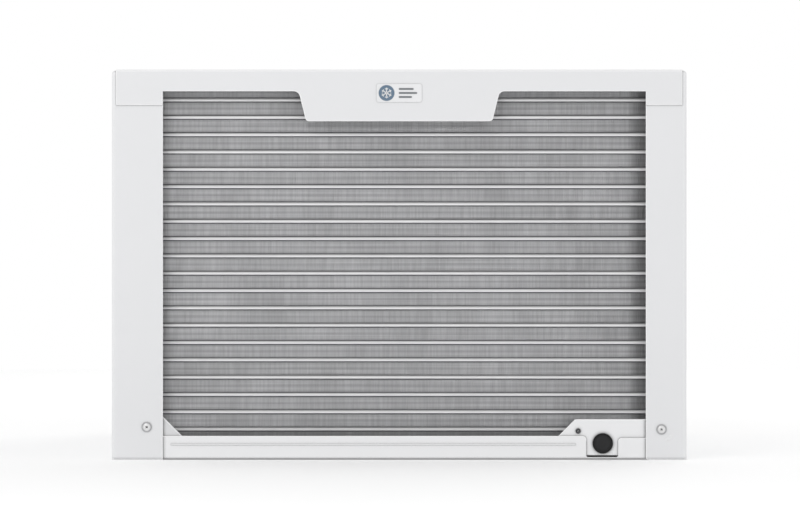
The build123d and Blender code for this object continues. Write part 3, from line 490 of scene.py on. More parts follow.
press_blade(
    side_blade, lambda f: f.normal.x > 0.9 or f.normal.z < -0.9, side_inner_edge, (BLADE_SLOPE, 0, -BITE)
)
array(side_blade, SIDE_ROWS, (0, 0, SIDE_PITCH))
array(side_blade, 2, (0, SIDE_COLUMNS[1] - SIDE_COLUMNS[0], 0))
apply_modifier(side_blade, "MIRROR", use_axis=(True, False, False))
face_outwards(side_blade)
finish_piece(side_blade, "side_louvre_blades", "cabinet", cabinet_paint)

# One roof blade, made the same way under its slot and sloping down towards the room.
roof_middle = Vector((ROOF_FIRST.x, ROOF_FIRST.y, shell_high.z - WALL))
roof_blade = block(
    roof_middle - Vector((ROOF_SLOT.x / 2 + LAP, ROOF_SLOT.y / 2 + LOW_LAP, ROOF_SLOT.z)),
    roof_middle + Vector((ROOF_SLOT.x / 2 + LAP, ROOF_SLOT.y / 2 + LAP, BITE)),
)


def roof_inner_edge(edge):
    """The outdoor long edge of the roof blade, away from the roof."""
    lengthwise = abs(edge.verts[0].co.x - edge.verts[1].co.x) > MM
    inner = abs(middle(edge).z - (roof_middle.z - ROOF_SLOT.z)) < MM
    return lengthwise and inner and middle(edge).y > roof_middle.y


press_blade(
    roof_blade, lambda f: f.normal.z > 0.9 or f.normal.y < -0.9, roof_inner_edge, (0, -BITE, BLADE_SLOPE)
)
array(roof_blade, ROOF_COUNT[0], (ROOF_PITCH.x, 0, 0))
array(roof_blade, ROOF_COUNT[1], (0, ROOF_PITCH.y, 0))
face_outwards(roof_blade)
finish_piece(roof_blade, "roof_louvre_blades", "cabinet", cabinet_paint)


# ---- Coil fins ----
# Condenser and evaporator: a pack of thin aluminium fins, each rippled across its depth so that
# it stiffens and turns the air, pressed over the tubes. Each fin is cut back where a tube passes.
FIN_PITCH = 2.08 * MM
FIN_SHEET = 0.14 * MM
RIPPLE = 1.02 * MM
OUTDOOR_EDGE_SETBACK = 2.6 * MM
GROOVE_HALF = 2.9 * MM
GROOVE_DEPTH = 8.0 * MM
TUBE_PITCH = 19.968 * MM
TUBE_FIRST = 14.53 * MM
EVAPORATOR_PITCH = 21.0 * MM
EVAPORATOR_FIRST = 32.0 * MM
OUTDOOR_ROWS, INDOOR_ROWS = 21, 15
OUTDOOR_BENDS = (0.08, 0.36, 0.64, 0.915, 1.0)
INDOOR_BENDS = (0.0, 0.08, 0.36, 0.64, 0.92)
END_GAP = 1.5 * MM
# Painted shade: the fins darken by this factor against the end plates and at the foot of the pack.
FIN_SHADE_LEVEL = 0.66
END_SHADE_WIDTH = 14.0 * MM
FOOT_SHADE_HEIGHT = (29.0 * MM, 37.0 * MM)
OUTDOOR_HALF, INDOOR_HALF = 277.0 * MM, 310.0 * MM
# Fin tones dark, mid and light: painted shade by the tubes, painted light part-way between them.
OUTDOOR_SHADED_TONES = (0.44, 0.44, 0.45, 1), (0.72, 0.72, 0.73, 1), (0.84, 0.84, 0.85, 1)
INDOOR_SHADED_TONES = (0.34, 0.37, 0.42, 1), (0.60, 0.66, 0.74, 1), (0.70, 0.77, 0.86, 1)


def fin_pack(low, high, bends, tube_rows, groove_from, groove_to):
    """One rippled fin, grooved at each tube row, repeated along X from low to high."""
    bpy.ops.object.select_all(action="DESELECT")
    centre = (low + high) / 2
    bpy.ops.mesh.primitive_plane_add(
        size=1, location=(low.x + END_GAP, centre.y, centre.z), rotation=(0, QUARTER, 0)
    )
    fin = bpy.context.object
    fin.scale = (high.z - low.z, high.y - low.y, 1)
    settle(fin)
    edit(fin)
    depths = [low.y + (high.y - low.y) * part for part in bends]
    for depth in depths:
        bpy.ops.mesh.select_mode(type="VERT")
        bpy.ops.mesh.select_all(action="SELECT")
        bpy.ops.mesh.bisect(plane_co=(0, depth, 0), plane_no=(0, 1, 0))
    for index, depth in enumerate(depths):
        pick(fin, "VERT", lambda v: abs(v.co.y - depth) < 0.1 * MM)
        bpy.ops.transform.translate(value=((-1) ** index * RIPPLE, 0, 0))

    def is_grooved(face):
        return groove_from < face.calc_center_median().y < groove_to

    def is_at_a_tube(face):
        height = face.calc_center_median().z
        return is_grooved(face) and any(abs(height - row) < 0.3 * GROOVE_HALF for row in tube_rows)

    for row in tube_rows:
        for level in (row - GROOVE_HALF, row + GROOVE_HALF):
            pick(fin, "FACE", is_grooved)
            bpy.ops.mesh.bisect(plane_co=(0, 0, level), plane_no=(0, 0, 1))
    pick(fin, "FACE", is_at_a_tube)
    bpy.ops.mesh.delete(type="FACE")
    bpy.ops.object.mode_set(mode="OBJECT")
    apply_modifier(fin, "SOLIDIFY", thickness=FIN_SHEET, offset=0)
    count = int((high.x - low.x - 2 * END_GAP) / FIN_PITCH) + 1
    array(fin, count, (FIN_PITCH, 0, 0))
    return fin


def row_number(tree, height, first_row, row_pitch):
    """How many tube rows a height is above the first row, as a socket."""
    return math_node(tree, "DIVIDE", math_node(tree, "SUBTRACT", height, first_row), row_pitch)


def stretched_noise(tree, place, stretch, scale, detail):
    """Noise drawn out along the axes, as a socket of its value."""
    mapping = add_node(tree, "ShaderNodeMapping", {"Scale": stretch})
    tree.links.new(place, mapping.inputs["Vector"])
    return noise(tree, mapping.outputs[0], scale, detail)


def rolled_aluminium(name, first_row, row_pitch, tones, half_width):
    """Fin stock: brightness differs from fin to fin and in patches, with painted shade by the tubes.

    Painted shade also darkens the foot of the pack and the ends against the end plates."""
    dark, mid, light = tones
    made, tree, shader = new_material(name)
    place = object_place(tree)
    parts = separate(tree, place)
    away = math_node(tree, "PINGPONG", row_number(tree, parts["Z"], first_row, row_pitch), 0.5)
    # Painted light and shade in bands: dark by each tube row, light part-way between, a little darker
    # midway.
    lit_and_shaded_bands = add_node(tree, "ShaderNodeValToRGB")
    stops = lit_and_shaded_bands.color_ramp.elements
    stops[0].position, stops[0].color = 0.13, dark
    stops[1].position, stops[1].color = 0.20, mid
    for position, colour in ((0.29, light), (0.42, light), (0.45, mid), (0.50, mid)):
        stops.new(position).color = colour
    tree.links.new(away, lit_and_shaded_bands.inputs["Fac"])
    each_fin = stretched_noise(tree, place, (1 / FIN_PITCH, 40, 28), 0.9, 1.0)
    pressed_lines = stretched_noise(tree, place, (5, 40, 620), 1.0, 2.0)
    patches = noise(tree, place, 16.0, 4.0)
    level = spread_value(tree, each_fin, 0.93, 1.06, 0.3, 0.7)
    width = math_node(tree, "ABSOLUTE", parts["X"])
    for factor in (
        spread_value(tree, patches, 0.94, 1.05, 0.3, 0.7),
        spread_value(tree, pressed_lines, 0.92, 1.08, 0.3, 0.7),
        spread_value(tree, width, 1.0, FIN_SHADE_LEVEL, half_width - END_SHADE_WIDTH, half_width),
        spread_value(tree, parts["Z"], FIN_SHADE_LEVEL, 1.0, *FOOT_SHADE_HEIGHT),
    ):
        level = math_node(tree, "MULTIPLY", level, factor)
    coloured = add_node(tree, "ShaderNodeVectorMath", operation="SCALE")
    tree.links.new(lit_and_shaded_bands.outputs["Color"], coloured.inputs[0])
    tree.links.new(level, coloured.inputs["Scale"])
    feed(shader, "Base Color", coloured.outputs[0])
    shader.inputs["Metallic"].default_value = 0.35
    feed(shader, "Roughness", spread_value(tree, each_fin, 0.38, 0.55))
    add_bump(tree, shader, each_fin, 0.2 * MM, 0.3)
    return made


low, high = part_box("condenser_fins")
outdoor_edge = high.y - OUTDOOR_EDGE_SETBACK
condenser_pack = fin_pack(
    Vector((low.x, low.y + 2 * MM, low.z)),
    Vector((high.x, outdoor_edge, high.z)),
    OUTDOOR_BENDS,
    [TUBE_FIRST + TUBE_PITCH * row for row in range(OUTDOOR_ROWS)],
    outdoor_edge - GROOVE_DEPTH,
    outdoor_edge,
)
outdoor_fins = rolled_aluminium("condenser_aluminium", TUBE_FIRST, TUBE_PITCH, OUTDOOR_SHADED_TONES, OUTDOOR_HALF)
finish_piece(
    condenser_pack, "condenser_fin_pack", "chassis", outdoor_fins, ["condenser_fins"]
)

low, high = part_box("evaporator_fins")
evaporator_pack = fin_pack(
    low,
    high,
    INDOOR_BENDS,
    [EVAPORATOR_FIRST + EVAPORATOR_PITCH * row for row in range(INDOOR_ROWS)],
    low.y,
    low.y + GROOVE_DEPTH,
)
indoor_fins = rolled_aluminium(
    "evaporator_aluminium", EVAPORATOR_FIRST, EVAPORATOR_PITCH, INDOOR_SHADED_TONES, INDOOR_HALF
)
finish_piece(
    evaporator_pack, "evaporator_fin_pack", "chassis", indoor_fins, ["evaporator_fins"]
)


# ---- Fin collars ----
# Where the fins are pressed over a tube, their collars meet end to end and hide the copper. Their
# colour carries a painted highlight along the middle, brightest on its lower half, and painted shade above
# and below it.
COLLAR_R = 3.64 * MM
COLLAR_SIDES = 20
COLLAR_ROUND = 0.4 * MM
COLLAR_GAP = 0.2 * MM
COLLAR_END = 0.9985
OUTER_TUBES_Y = 317.0 * MM


def cylinder(place, radius, depth, sides, along="Z"):
    """A cylinder about a middle point, with its place in its mesh."""
    turn = {"X": (0, QUARTER, 0), "Y": (QUARTER, 0, 0), "Z": (0, 0, 0)}[along]
    bpy.ops.object.select_all(action="DESELECT")
    bpy.ops.mesh.primitive_cylinder_add(
        vertices=sides, radius=radius, depth=depth, location=place, rotation=turn
    )
    made = bpy.context.object
    settle(made)
    return made


collar_painted_light, tree, shader = new_material("collar_painted_light")
place = object_place(tree)
parts = separate(tree, place)
rows = row_number(tree, parts["Z"], TUBE_FIRST, TUBE_PITCH)
across = math_node(tree, "FRACT", math_node(tree, "ADD", rows, 0.5))
# Painted highlight and shade: white just below each tube row's middle, dimmer above it, dark at both
# edges.
lit_and_shaded_stripe = add_node(tree, "ShaderNodeValToRGB")
stops = lit_and_shaded_stripe.color_ramp.elements
stops[0].position, stops[0].color = 0.405, (0.22, 0.22, 0.23, 1)
stops[1].position, stops[1].color = 0.430, (1.0, 1.0, 1.0, 1)
for position, level in ((0.47, 1.0), (0.51, 0.74), (0.565, 0.62), (0.595, 0.22)):
    stops.new(position).color = (level, level, level, 1)
tree.links.new(across, lit_and_shaded_stripe.inputs["Fac"])
lengthwise = noise(tree, place, 26.0, 3.0)
bright = mix_colour(tree, lengthwise, (0.84, 0.84, 0.85, 1), (1.0, 1.0, 1.0, 1))
feed(shader, "Base Color", mix_colour(tree, 1.0, bright, lit_and_shaded_stripe.outputs["Color"], "MULTIPLY"))
shader.inputs["Roughness"].default_value = 0.42
shader.inputs["Metallic"].default_value = 0.15
wave = add_node(tree, "ShaderNodeTexWave", {"Scale": 0.5 / FIN_PITCH}, bands_direction="X")
tree.links.new(place, wave.inputs["Vector"])
add_bump(tree, shader, wave.outputs["Fac"], 0.2 * MM, 0.35)

low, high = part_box("condenser_fins")
first_collar = Vector(((low.x + high.x) / 2, OUTER_TUBES_Y, TUBE_FIRST))
collars = cylinder(first_collar, COLLAR_R, high.x - low.x - 2 * COLLAR_GAP, COLLAR_SIDES, "X")
edit(collars)
pick(collars, "FACE", lambda f: abs(f.normal.x) > 0.9)
bpy.ops.mesh.inset(thickness=COLLAR_ROUND)
bpy.ops.mesh.extrude_region_move(TRANSFORM_OT_translate={"value": (0, 0, 0)})
bpy.ops.transform.resize(value=(COLLAR_END, 1, 1), center_override=first_collar)
bpy.ops.object.mode_set(mode="OBJECT")
array(collars, OUTDOOR_ROWS, (0, 0, TUBE_PITCH))
finish_piece(collars, "condenser_collars", "chassis", collar_painted_light)


# ---- Copper and end plates ----
# Tubes, return bends, hot-gas and suction pipes and the capillary: drawn copper, a little dulled,
# brazed at the joints. The end plates that carry the tubes are galvanised steel with its spangle,
# as are the motor stand, the control box and the partition.
def drawn_copper(name, colour, dull, roughness):
    """Drawn copper: darkened in patches, with fine draw marks."""
    made, tree, shader, slow, fine = skinned_material(name, 420.0, 24.0)
    patches = spread_value(tree, slow, 0.0, 1.0, 0.38, 0.66)
    feed(shader, "Base Color", mix_colour(tree, patches, colour, dull))
    feed(shader, "Roughness", spread_value(tree, slow, roughness, roughness + 0.2))
    shader.inputs["Metallic"].default_value = 1.0
    add_bump(tree, shader, fine, 0.1 * MM, 0.2)
    return made


def spangled_zinc(name, light, dark, roughness=0.38):
    """Galvanised steel: crystals of slightly different brightness, and a painted highlight on the edges.
    """
    made, tree, shader = new_material(name)
    place = object_place(tree)
    crystals = add_node(tree, "ShaderNodeTexVoronoi", {"Scale": 130.0, "Randomness": 1.0})
    tree.links.new(place, crystals.inputs["Vector"])
    grey = add_node(tree, "ShaderNodeRGBToBW")
    tree.links.new(crystals.outputs["Color"], grey.inputs[0])
    edge = use_group(tree, soft_edge, Radius=0.4 * MM)
    tone = mix_colour(tree, grey.outputs[0], dark, light)
    # Painted highlight: the edges turn near-white.
    feed(shader, "Base Color", mix_colour(tree, edge.outputs["Mask"], tone, (0.9, 0.9, 0.9, 1)))
    feed(shader, "Roughness", spread_value(tree, grey.outputs[0], roughness - 0.08, roughness + 0.12))
    shader.inputs["Metallic"].default_value = 0.9
    add_bump(tree, shader, grey.outputs[0], 0.05 * MM, 0.2, edge.outputs["Normal"])
    return made


copper = drawn_copper("drawn_copper", (0.72, 0.34, 0.20, 1), (0.36, 0.17, 0.11, 1), 0.28)
galvanised = spangled_zinc("galvanised_steel", (0.66, 0.67, 0.69, 1), (0.47, 0.48, 0.50, 1))
finish_nodes(copper, "condenser_tubes", "evaporator_tubes", "refrigerant_pipes", "capillary_coil")
finish_nodes(galvanised, "coil_end_plates", "motor_bracket", "control_box", "bulkhead")


# ---- Screws and nuts ----
# Cross-recessed sheet-metal screws with a washer flange under a domed head, the nuts of the
# compressor feet and the motor shaft. Zinc-plated steel, the drain bracket's screw blackened. The
# cross is near-black as painted shade; the plated heads' washer flanges are dark grey as painted shade.
RECESS_REACH = 0.56
RECESS_WIDTH = 0.24
RECESS_DEPTH = 0.75
RECESS_TAPER = (0.45, 0.7, 1)
# Below this share of the head's height the cross is painted near-black: painted shade.
RECESS_SHADE_DEPTH = 0.2
DOME = ((0.0, 0.42), (0.07, 0.26), (0.16, 0.19), (0.24, 0.13))
FLANGE_HEAD = (4.3 * MM, 1.35 * MM)
FLANGE_WASHER = 0.5 * MM
FLANGE_SEAT = 0.64 * MM
FLANGE_STEP = 2.7 * MM
DRAIN_HEAD = (3.05 * MM, 1.1 * MM)
DRAIN_WASHER = (3.3 * MM, 0.3 * MM)
DRAIN_SCREW = Vector((-205.5, 336.9, 33.1)) * MM
FLOOR_HEAD = (3.0 * MM, 1.5 * MM)
FLOOR_WASHER = (3.6 * MM, 0.4 * MM)
FLOOR_SCREW_X, FLOOR_SCREW_Y = (-312.0 * MM, 312.0 * MM), (-72.0 * MM, 194.0 * MM)
FLOOR_SEAT = 3.9 * MM


def join(parts):
    """Joins parts into the first of them."""
    bpy.ops.object.select_all(action="DESELECT")
    for part in parts:
        part.select_set(True)
    bpy.context.view_layer.objects.active = parts[0]
    bpy.ops.object.join()
    return parts[0]


def screw_head(washer, head, turn, steel, washer_metal_and_shade):
    """A domed head on a washer flange, with its cross recess, looking along +Z from the origin."""
    washer_r, washer_h = washer
    head_r, head_h = head
    made = cylinder((0, 0, washer_h / 2), washer_r, washer_h, 40)
    edit(made)
    pick(made, "FACE", lambda f: f.normal.z > 0.9)
    bpy.ops.mesh.inset(thickness=washer_r - head_r)
    for inward, rise in DOME:
        bpy.ops.mesh.extrude_region_move(TRANSFORM_OT_translate={"value": (0, 0, rise * head_h)})
        bpy.ops.transform.resize(value=(1 - inward, 1 - inward, 1), center_override=(0, 0, 0))
    bpy.ops.object.mode_set(mode="OBJECT")
    top = washer_h + head_h
    for angle in (0, 90):
        reach, half = head_r * RECESS_REACH, head_r * RECESS_WIDTH / 2
        slot = block((-reach, -half, top - head_h * RECESS_DEPTH), (reach, half, top + head_h))
        edit(slot)
        pick(slot, "FACE", lambda f: f.normal.z < -0.9)
        bpy.ops.transform.resize(value=RECESS_TAPER, center_override=(0, 0, 0))
        bpy.ops.object.mode_set(mode="OBJECT")
        slot.rotation_euler = (0, 0, math.radians(angle) + turn)
        settle(slot)
        apply_modifier(made, "BOOLEAN", operation="DIFFERENCE", solver="EXACT", object=slot)
        bpy.data.objects.remove(slot)
    for metal in (steel, recess_painted_shade, washer_metal_and_shade):
        made.data.materials.append(metal)
    # Faces deep in the cross take the painted shade; the flange takes the washer material.
    for face in made.data.polygons:
        across = face.center.xy.length
        if across < head_r * RECESS_REACH and face.center.z < top - head_h * RECESS_SHADE_DEPTH:
            face.material_index = 1
        elif across > head_r * 1.02:
            face.material_index = 2
    return made


def place_head(head, seat, faces_outdoors):
    """Moves a finished head to its seat, turned to look outdoors or left looking up."""
    head.rotation_euler = (-QUARTER if faces_outdoors else 0, 0, 0)
    head.location = seat
    settle(head)
    return head


plated = spangled_zinc("plated_steel", (0.80, 0.80, 0.80, 1), (0.72, 0.72, 0.72, 1), 0.34)
# A darker copy of the plated steel for the washer flanges: painted shade round the heads.
washer_painted_shade = spangled_zinc("washer_painted_shade", (0.46, 0.46, 0.47, 1), (0.38, 0.38, 0.39, 1), 0.42)
blackened = spangled_zinc("blackened_steel", (0.10, 0.10, 0.105, 1), (0.06, 0.06, 0.065, 1), 0.36)
# The near-black colour painted in the cross: painted shade.
recess_painted_shade, tree, shader, slow, fine = skinned_material("recess_painted_shade", 2600.0, 300.0)
recess_shade_colour = mix_colour(tree, slow, (0.02, 0.02, 0.02, 1), (0.09, 0.085, 0.08, 1))
feed(shader, "Base Color", recess_shade_colour)
shader.inputs["Roughness"].default_value = 0.85
add_bump(tree, shader, fine, 0.1 * MM, 0.4)
finish_nodes(plated, "compressor_nuts", "motor_shaft")

low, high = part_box("flange_screws")
washer_r = (high.z - low.z - FLANGE_STEP) / 2
seat_y = low.y + FLANGE_SEAT
flange_heads = [
    place_head(
        screw_head((washer_r, FLANGE_WASHER), FLANGE_HEAD, turn, plated, washer_painted_shade), seat, True
    )
    for turn, seat in (
        (0.5, (low.x + washer_r, seat_y, low.z + washer_r)),
        (0.9, (high.x - washer_r, seat_y, high.z - washer_r)),
    )
]
finish_piece(join(flange_heads), "flange_screw_heads", "cabinet", None, ["flange_screws"])

drain_head = screw_head(DRAIN_WASHER, DRAIN_HEAD, 0.3, blackened, blackened)
chassis_heads = [place_head(drain_head, DRAIN_SCREW, True)]
for x in FLOOR_SCREW_X:
    for y in FLOOR_SCREW_Y:
        head = screw_head(FLOOR_WASHER, FLOOR_HEAD, x + y, plated, washer_painted_shade)
        chassis_heads.append(place_head(head, (x, y, FLOOR_SEAT), False))
finish_piece(join(chassis_heads), "chassis_screw_heads", "chassis", None, ["chassis_screws"])


# ---- Rubber ----
# Compressor feet and cord bushing: moulded black rubber, matt with a faint bloom in patches and a
# painted highlight on the edges. The feet sit on the studs, and the bushing is pressed into the side wall
# of the room front.
def moulded_rubber(name, colour, bloom):
    """Moulded rubber: matt, with a dusty bloom in patches, and the edges lighter as a painted highlight.
    """
    made, tree, shader, slow, fine = skinned_material(name, 1400.0, 60.0)
    edge = use_group(tree, soft_edge, Radius=0.8 * MM)
    patches = spread_value(tree, slow, 0.0, 0.7, 0.35, 0.7)
    tone = mix_colour(tree, patches, colour, bloom)
    # Painted highlight: the edges take the lighter bloom colour.
    feed(shader, "Base Color", mix_colour(tree, edge.outputs["Mask"], tone, bloom))
    feed(shader, "Roughness", spread_value(tree, slow, 0.62, 0.78))
    add_bump(tree, shader, fine, 0.15 * MM, 0.25, edge.outputs["Normal"])
    return made


rubber = moulded_rubber("black_rubber", (0.016, 0.016, 0.017, 1), (0.034, 0.034, 0.036, 1))
finish_nodes(rubber, "compressor_grommets", "cord_gland")


# ---- Drain stopper ----
# A round cap of black rubber with a rolled rim and a shallow ring, on a stem that plugs the spout.
# It is matt, with painted shade that darkens it towards the rim.
STEM_R = 8.95 * MM
STEM_TIP, STEM_TAPER = 1.2 * MM, 0.86
CAP_SEAT = 2.4 * MM
CAP_HEIGHT = 2.1 * MM
CAP_RINGS = ((1.1, -0.15), (0.9, -0.35), (0.5, 0.0), (0.8, 0.45), (1.2, 0.15))
RIM_ROUND = 0.8 * MM

low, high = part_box("drain_plug")
cap_r = (high.x - low.x) / 2
seat_y = high.y - CAP_SEAT
centre = Vector(((low.x + high.x) / 2, seat_y, (low.z + high.z) / 2))
stopper = cylinder(centre + Vector((0, CAP_HEIGHT / 2, 0)), cap_r, CAP_HEIGHT, 64, "Y")


def is_on_the_rim(edge):
    """The outer edge of the cap's face."""
    spot = middle(edge)
    return abs(spot.y - seat_y - CAP_HEIGHT) < 0.05 * MM and (spot - centre).xz.length > cap_r * 0.98


edit(stopper)
pick(stopper, "FACE", lambda f: f.normal.y > 0.9)
for inward, rise in CAP_RINGS:
    bpy.ops.mesh.inset(thickness=inward * MM)
    bpy.ops.transform.translate(value=(0, rise * MM, 0))
pick(stopper, "FACE", lambda f: f.normal.y < -0.9)
bpy.ops.mesh.inset(thickness=cap_r - STEM_R)
for rise in (low.y - seat_y + STEM_TIP, -STEM_TIP):
    bpy.ops.mesh.extrude_region_move(TRANSFORM_OT_translate={"value": (0, rise, 0)})
bpy.ops.transform.resize(value=(STEM_TAPER, 1, STEM_TAPER), center_override=centre)
pick(stopper, "EDGE", is_on_the_rim)
bpy.ops.mesh.bevel(offset=RIM_ROUND, segments=4, affect="EDGES")
bpy.ops.object.mode_set(mode="OBJECT")

stopper_rubber, tree, shader, slow, fine = skinned_material("stopper_rubber", 1500.0, 80.0)
parts = separate(tree, object_place(tree))
across = math_node(tree, "SUBTRACT", parts["X"], centre.x)
along = math_node(tree, "SUBTRACT", parts["Z"], centre.z)
across_squared = math_node(tree, "MULTIPLY", across, across)
along_squared = math_node(tree, "MULTIPLY", along, along)
reach = math_node(tree, "SQRT", math_node(tree, "ADD", across_squared, along_squared))
# Painted shade: the cap darkens towards its rim.
outwards = spread_value(tree, reach, 0.0, 1.0, cap_r * 0.62, cap_r * 0.93)
settled = use_group(tree, dust, Amount=0.10)
tone = mix_colour(tree, slow, (0.013, 0.013, 0.014, 1), (0.020, 0.020, 0.021, 1))
rim_shaded = mix_colour(tree, outwards, tone, (0.004, 0.004, 0.004, 1))
feed(shader, "Base Color", mix_colour(tree, settled.outputs["Mask"], rim_shaded, (0.10, 0.10, 0.098, 1)))
feed(shader, "Roughness", spread_value(tree, slow, 0.52, 0.66))
shader.inputs["Specular IOR Level"].default_value = 0.28
add_bump(tree, shader, fine, 0.2 * MM, 0.35)
finish_piece(stopper, "drain_stopper", "drain_plug", stopper_rubber, ["drain_plug"])


# ---- Name plate ----
# A small aluminium plate stuck on the tab of the top rail, lacquered in the cabinet's grey. It
# carries a raised disc with a six-armed snowflake, and three grey strokes for moving air.
PLATE_CORNER = 2.6 * MM
PLATE_BORDER, PLATE_SINK = 0.5 * MM, 0.08 * MM
DISC_R, DISC_DEPTH = 9.0 * MM, 0.3 * MM
DISC_X = 14.5 * MM
DISC_BORDER, DISC_SINK = 0.7 * MM, 0.06 * MM
ARM = 6.2 * MM
ARM_WIDTH, ARM_DEPTH = 1.15 * MM, 0.26 * MM
TWIG_ROOT, TWIG_LENGTH, TWIG_WIDTH = 0.62, 0.40, 0.85
TWIG_SHIFT = 0.17
TWIG_LEAN = math.radians(55)
RELIEF = 0.30 * MM
STROKES = ((-1, 15.0 * MM), (0, 21.0 * MM), (1, 17.0 * MM))
LONGEST_STROKE = 21.0 * MM
STROKE_X, STROKE_PITCH = -10.0 * MM, 4.6 * MM
STROKE_WIDTH, STROKE_DEPTH = 1.9 * MM, 0.3 * MM

low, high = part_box("rear_badge")
plate_middle = (low + high) / 2
plate_face = high.y - RELIEF
plate = block(low, Vector((high.x, plate_face, high.z)))
edit(plate)
pick(plate, "EDGE", lambda e: abs(e.verts[0].co.y - e.verts[1].co.y) > 0.3 * MM)
bpy.ops.mesh.bevel(offset=PLATE_CORNER, segments=8, affect="EDGES")
pick(plate, "FACE", lambda f: f.normal.y > 0.9)
bpy.ops.mesh.inset(thickness=PLATE_BORDER)
bpy.ops.transform.translate(value=(0, -PLATE_SINK, 0))
bpy.ops.object.mode_set(mode="OBJECT")
apply_modifier(plate, "BEVEL", width=0.12 * MM, segments=2, limit_method="ANGLE")


def bar(middle_point, length, width, depth, angle):
    """A raised bar with rounded ends, lying in the X-Z plane and turned by angle about Y."""
    half = Vector((width, depth, length)) / 2
    made = block(-half, half)
    edit(made)
    pick(made, "EDGE", lambda e: abs(e.verts[0].co.y - e.verts[1].co.y) > depth / 2)
    bpy.ops.mesh.bevel(offset=width * 0.48, segments=3, affect="EDGES")
    bpy.ops.object.mode_set(mode="OBJECT")
    made.rotation_euler = (0, angle, 0)
    made.location = middle_point
    settle(made)
    return made


def snowflake(middle_point, arm, width, depth):
    """Six arms about a middle point, each with one pair of twigs."""
    strokes = []
    for step in range(3):
        strokes.append(bar(middle_point, arm * 2, width, depth, math.radians(60 * step)))
    for step in range(6):
        angle = math.radians(60 * step)
        root = middle_point + Vector((math.sin(angle), 0, math.cos(angle))) * arm * TWIG_ROOT
        for side in (-1, 1):
            lean = angle + side * TWIG_LEAN
            twig = Vector((math.sin(lean), 0, math.cos(lean)))
            spot = root + twig * arm * TWIG_SHIFT
            strokes.append(bar(spot, arm * TWIG_LENGTH, width * TWIG_WIDTH, depth, lean))
    return join(strokes)


disc_middle = Vector((plate_middle.x + DISC_X, plate_face, plate_middle.z))
disc = cylinder(disc_middle, DISC_R, DISC_DEPTH, 64, "Y")
edit(disc)
pick(disc, "FACE", lambda f: f.normal.y > 0.9)
bpy.ops.mesh.inset(thickness=DISC_BORDER)
bpy.ops.transform.translate(value=(0, -DISC_SINK, 0))
bpy.ops.object.mode_set(mode="OBJECT")
emblem = snowflake(disc_middle + Vector((0, DISC_DEPTH / 2, 0)), ARM, ARM_WIDTH, ARM_DEPTH)
strokes = []
for step, length in STROKES:
    spot = plate_middle + Vector((STROKE_X + (LONGEST_STROKE - length) / 2, 0, step * STROKE_PITCH))
    spot.y = plate_face + 0.02 * MM
    strokes.append(bar(spot, length, STROKE_WIDTH, STROKE_DEPTH, QUARTER))


def badge_enamel(name, first, second):
    """Screen-printed lacquer: almost even, with a fine tooth."""
    made, tree, shader, slow, fine = skinned_material(name, 1200.0, 90.0)
    feed(shader, "Base Color", mix_colour(tree, slow, first, second))
    feed(shader, "Roughness", spread_value(tree, slow, 0.34, 0.46))
    add_bump(tree, shader, fine, 0.1 * MM, 0.15)
    return made


plate_lacquer = powder_paint("plate_lacquer", (0.80, 0.803, 0.815, 1), PAINT_EDGE_HIGHLIGHT, 0.4 * MM, 9.0)
disc_lacquer = badge_enamel("disc_lacquer", (0.10, 0.16, 0.23, 1), (0.13, 0.20, 0.28, 1))
emblem_white = badge_enamel("emblem_white", (0.80, 0.81, 0.82, 1), (0.88, 0.88, 0.89, 1))
stroke_grey = badge_enamel("stroke_grey", (0.14, 0.155, 0.165, 1), (0.19, 0.205, 0.215, 1))
finish_piece(plate, "name_plate", "cabinet", plate_lacquer, ["rear_badge"])
finish_piece(disc, "name_plate_disc", "cabinet", disc_lacquer)
finish_piece(emblem, "name_plate_snowflake", "cabinet", emblem_white)
finish_piece(join(strokes), "name_plate_strokes", "cabinet", stroke_grey)


# ---- Outdoor air path ----
# Shroud, axial fan and blower wheel: moulded plastic, both wheels glass-filled and dark grey.
# Blower housing, inlet ring, tray, duct and vent door: pale polystyrene and polypropylene.
PLASTIC_DUST = (0.50, 0.48, 0.45, 1)


def moulded_plastic(name, colour, grain=1100.0, relief=0.22, roughness=0.45, edge_highlight_lift=1.12):
    """Moulded plastic: fine spark-eroded grain, slow drift of tone, edges a touch lighter as painted
    highlight, painted shade in crevices.
    """
    made, tree, shader, slow, fine = skinned_material(name, grain, 9.0)
    edge = use_group(tree, soft_edge, Radius=0.9 * MM, Gain=14.0)
    crevice_shade = use_group(tree, crevice, Reach=4.0 * MM, Gain=0.55)
    settled = use_group(tree, dust, Amount=0.14)
    tone = mix_colour(tree, slow, scaled(colour, 0.95), colour)
    # Painted shade: the plastic darkens in crevices and gaps, by the occlusion mask.
    crevice_shaded = mix_colour(tree, crevice_shade.outputs["Mask"], tone, scaled(colour, 0.45))
    # Painted highlight: the edges lighten by a set factor.
    edge_highlighted = mix_colour(tree, edge.outputs["Mask"], crevice_shaded, scaled(colour, edge_highlight_lift))
    feed(shader, "Base Color", mix_colour(tree, settled.outputs["Mask"], edge_highlighted, PLASTIC_DUST))
    grainy = spread_value(tree, fine, roughness - 0.06, roughness + 0.08)
    feed(shader, "Roughness", grainy)
    add_bump(tree, shader, fine, 0.12 * MM, relief, edge.outputs["Normal"])
    return made


shroud_plastic = moulded_plastic("shroud_plastic", (0.50, 0.51, 0.52, 1))
fan_plastic = moulded_plastic("fan_plastic", (0.30, 0.31, 0.33, 1), roughness=0.5)
duct_plastic = moulded_plastic("duct_plastic", (0.62, 0.62, 0.60, 1))
finish_nodes(shroud_plastic, "fan_shroud")
finish_nodes(fan_plastic, "condenser_fan", "blower_wheel")
finish_nodes(duct_plastic, "blower_scroll", "inlet_orifice", "outlet_duct", "condensate_tray", "vent_door")


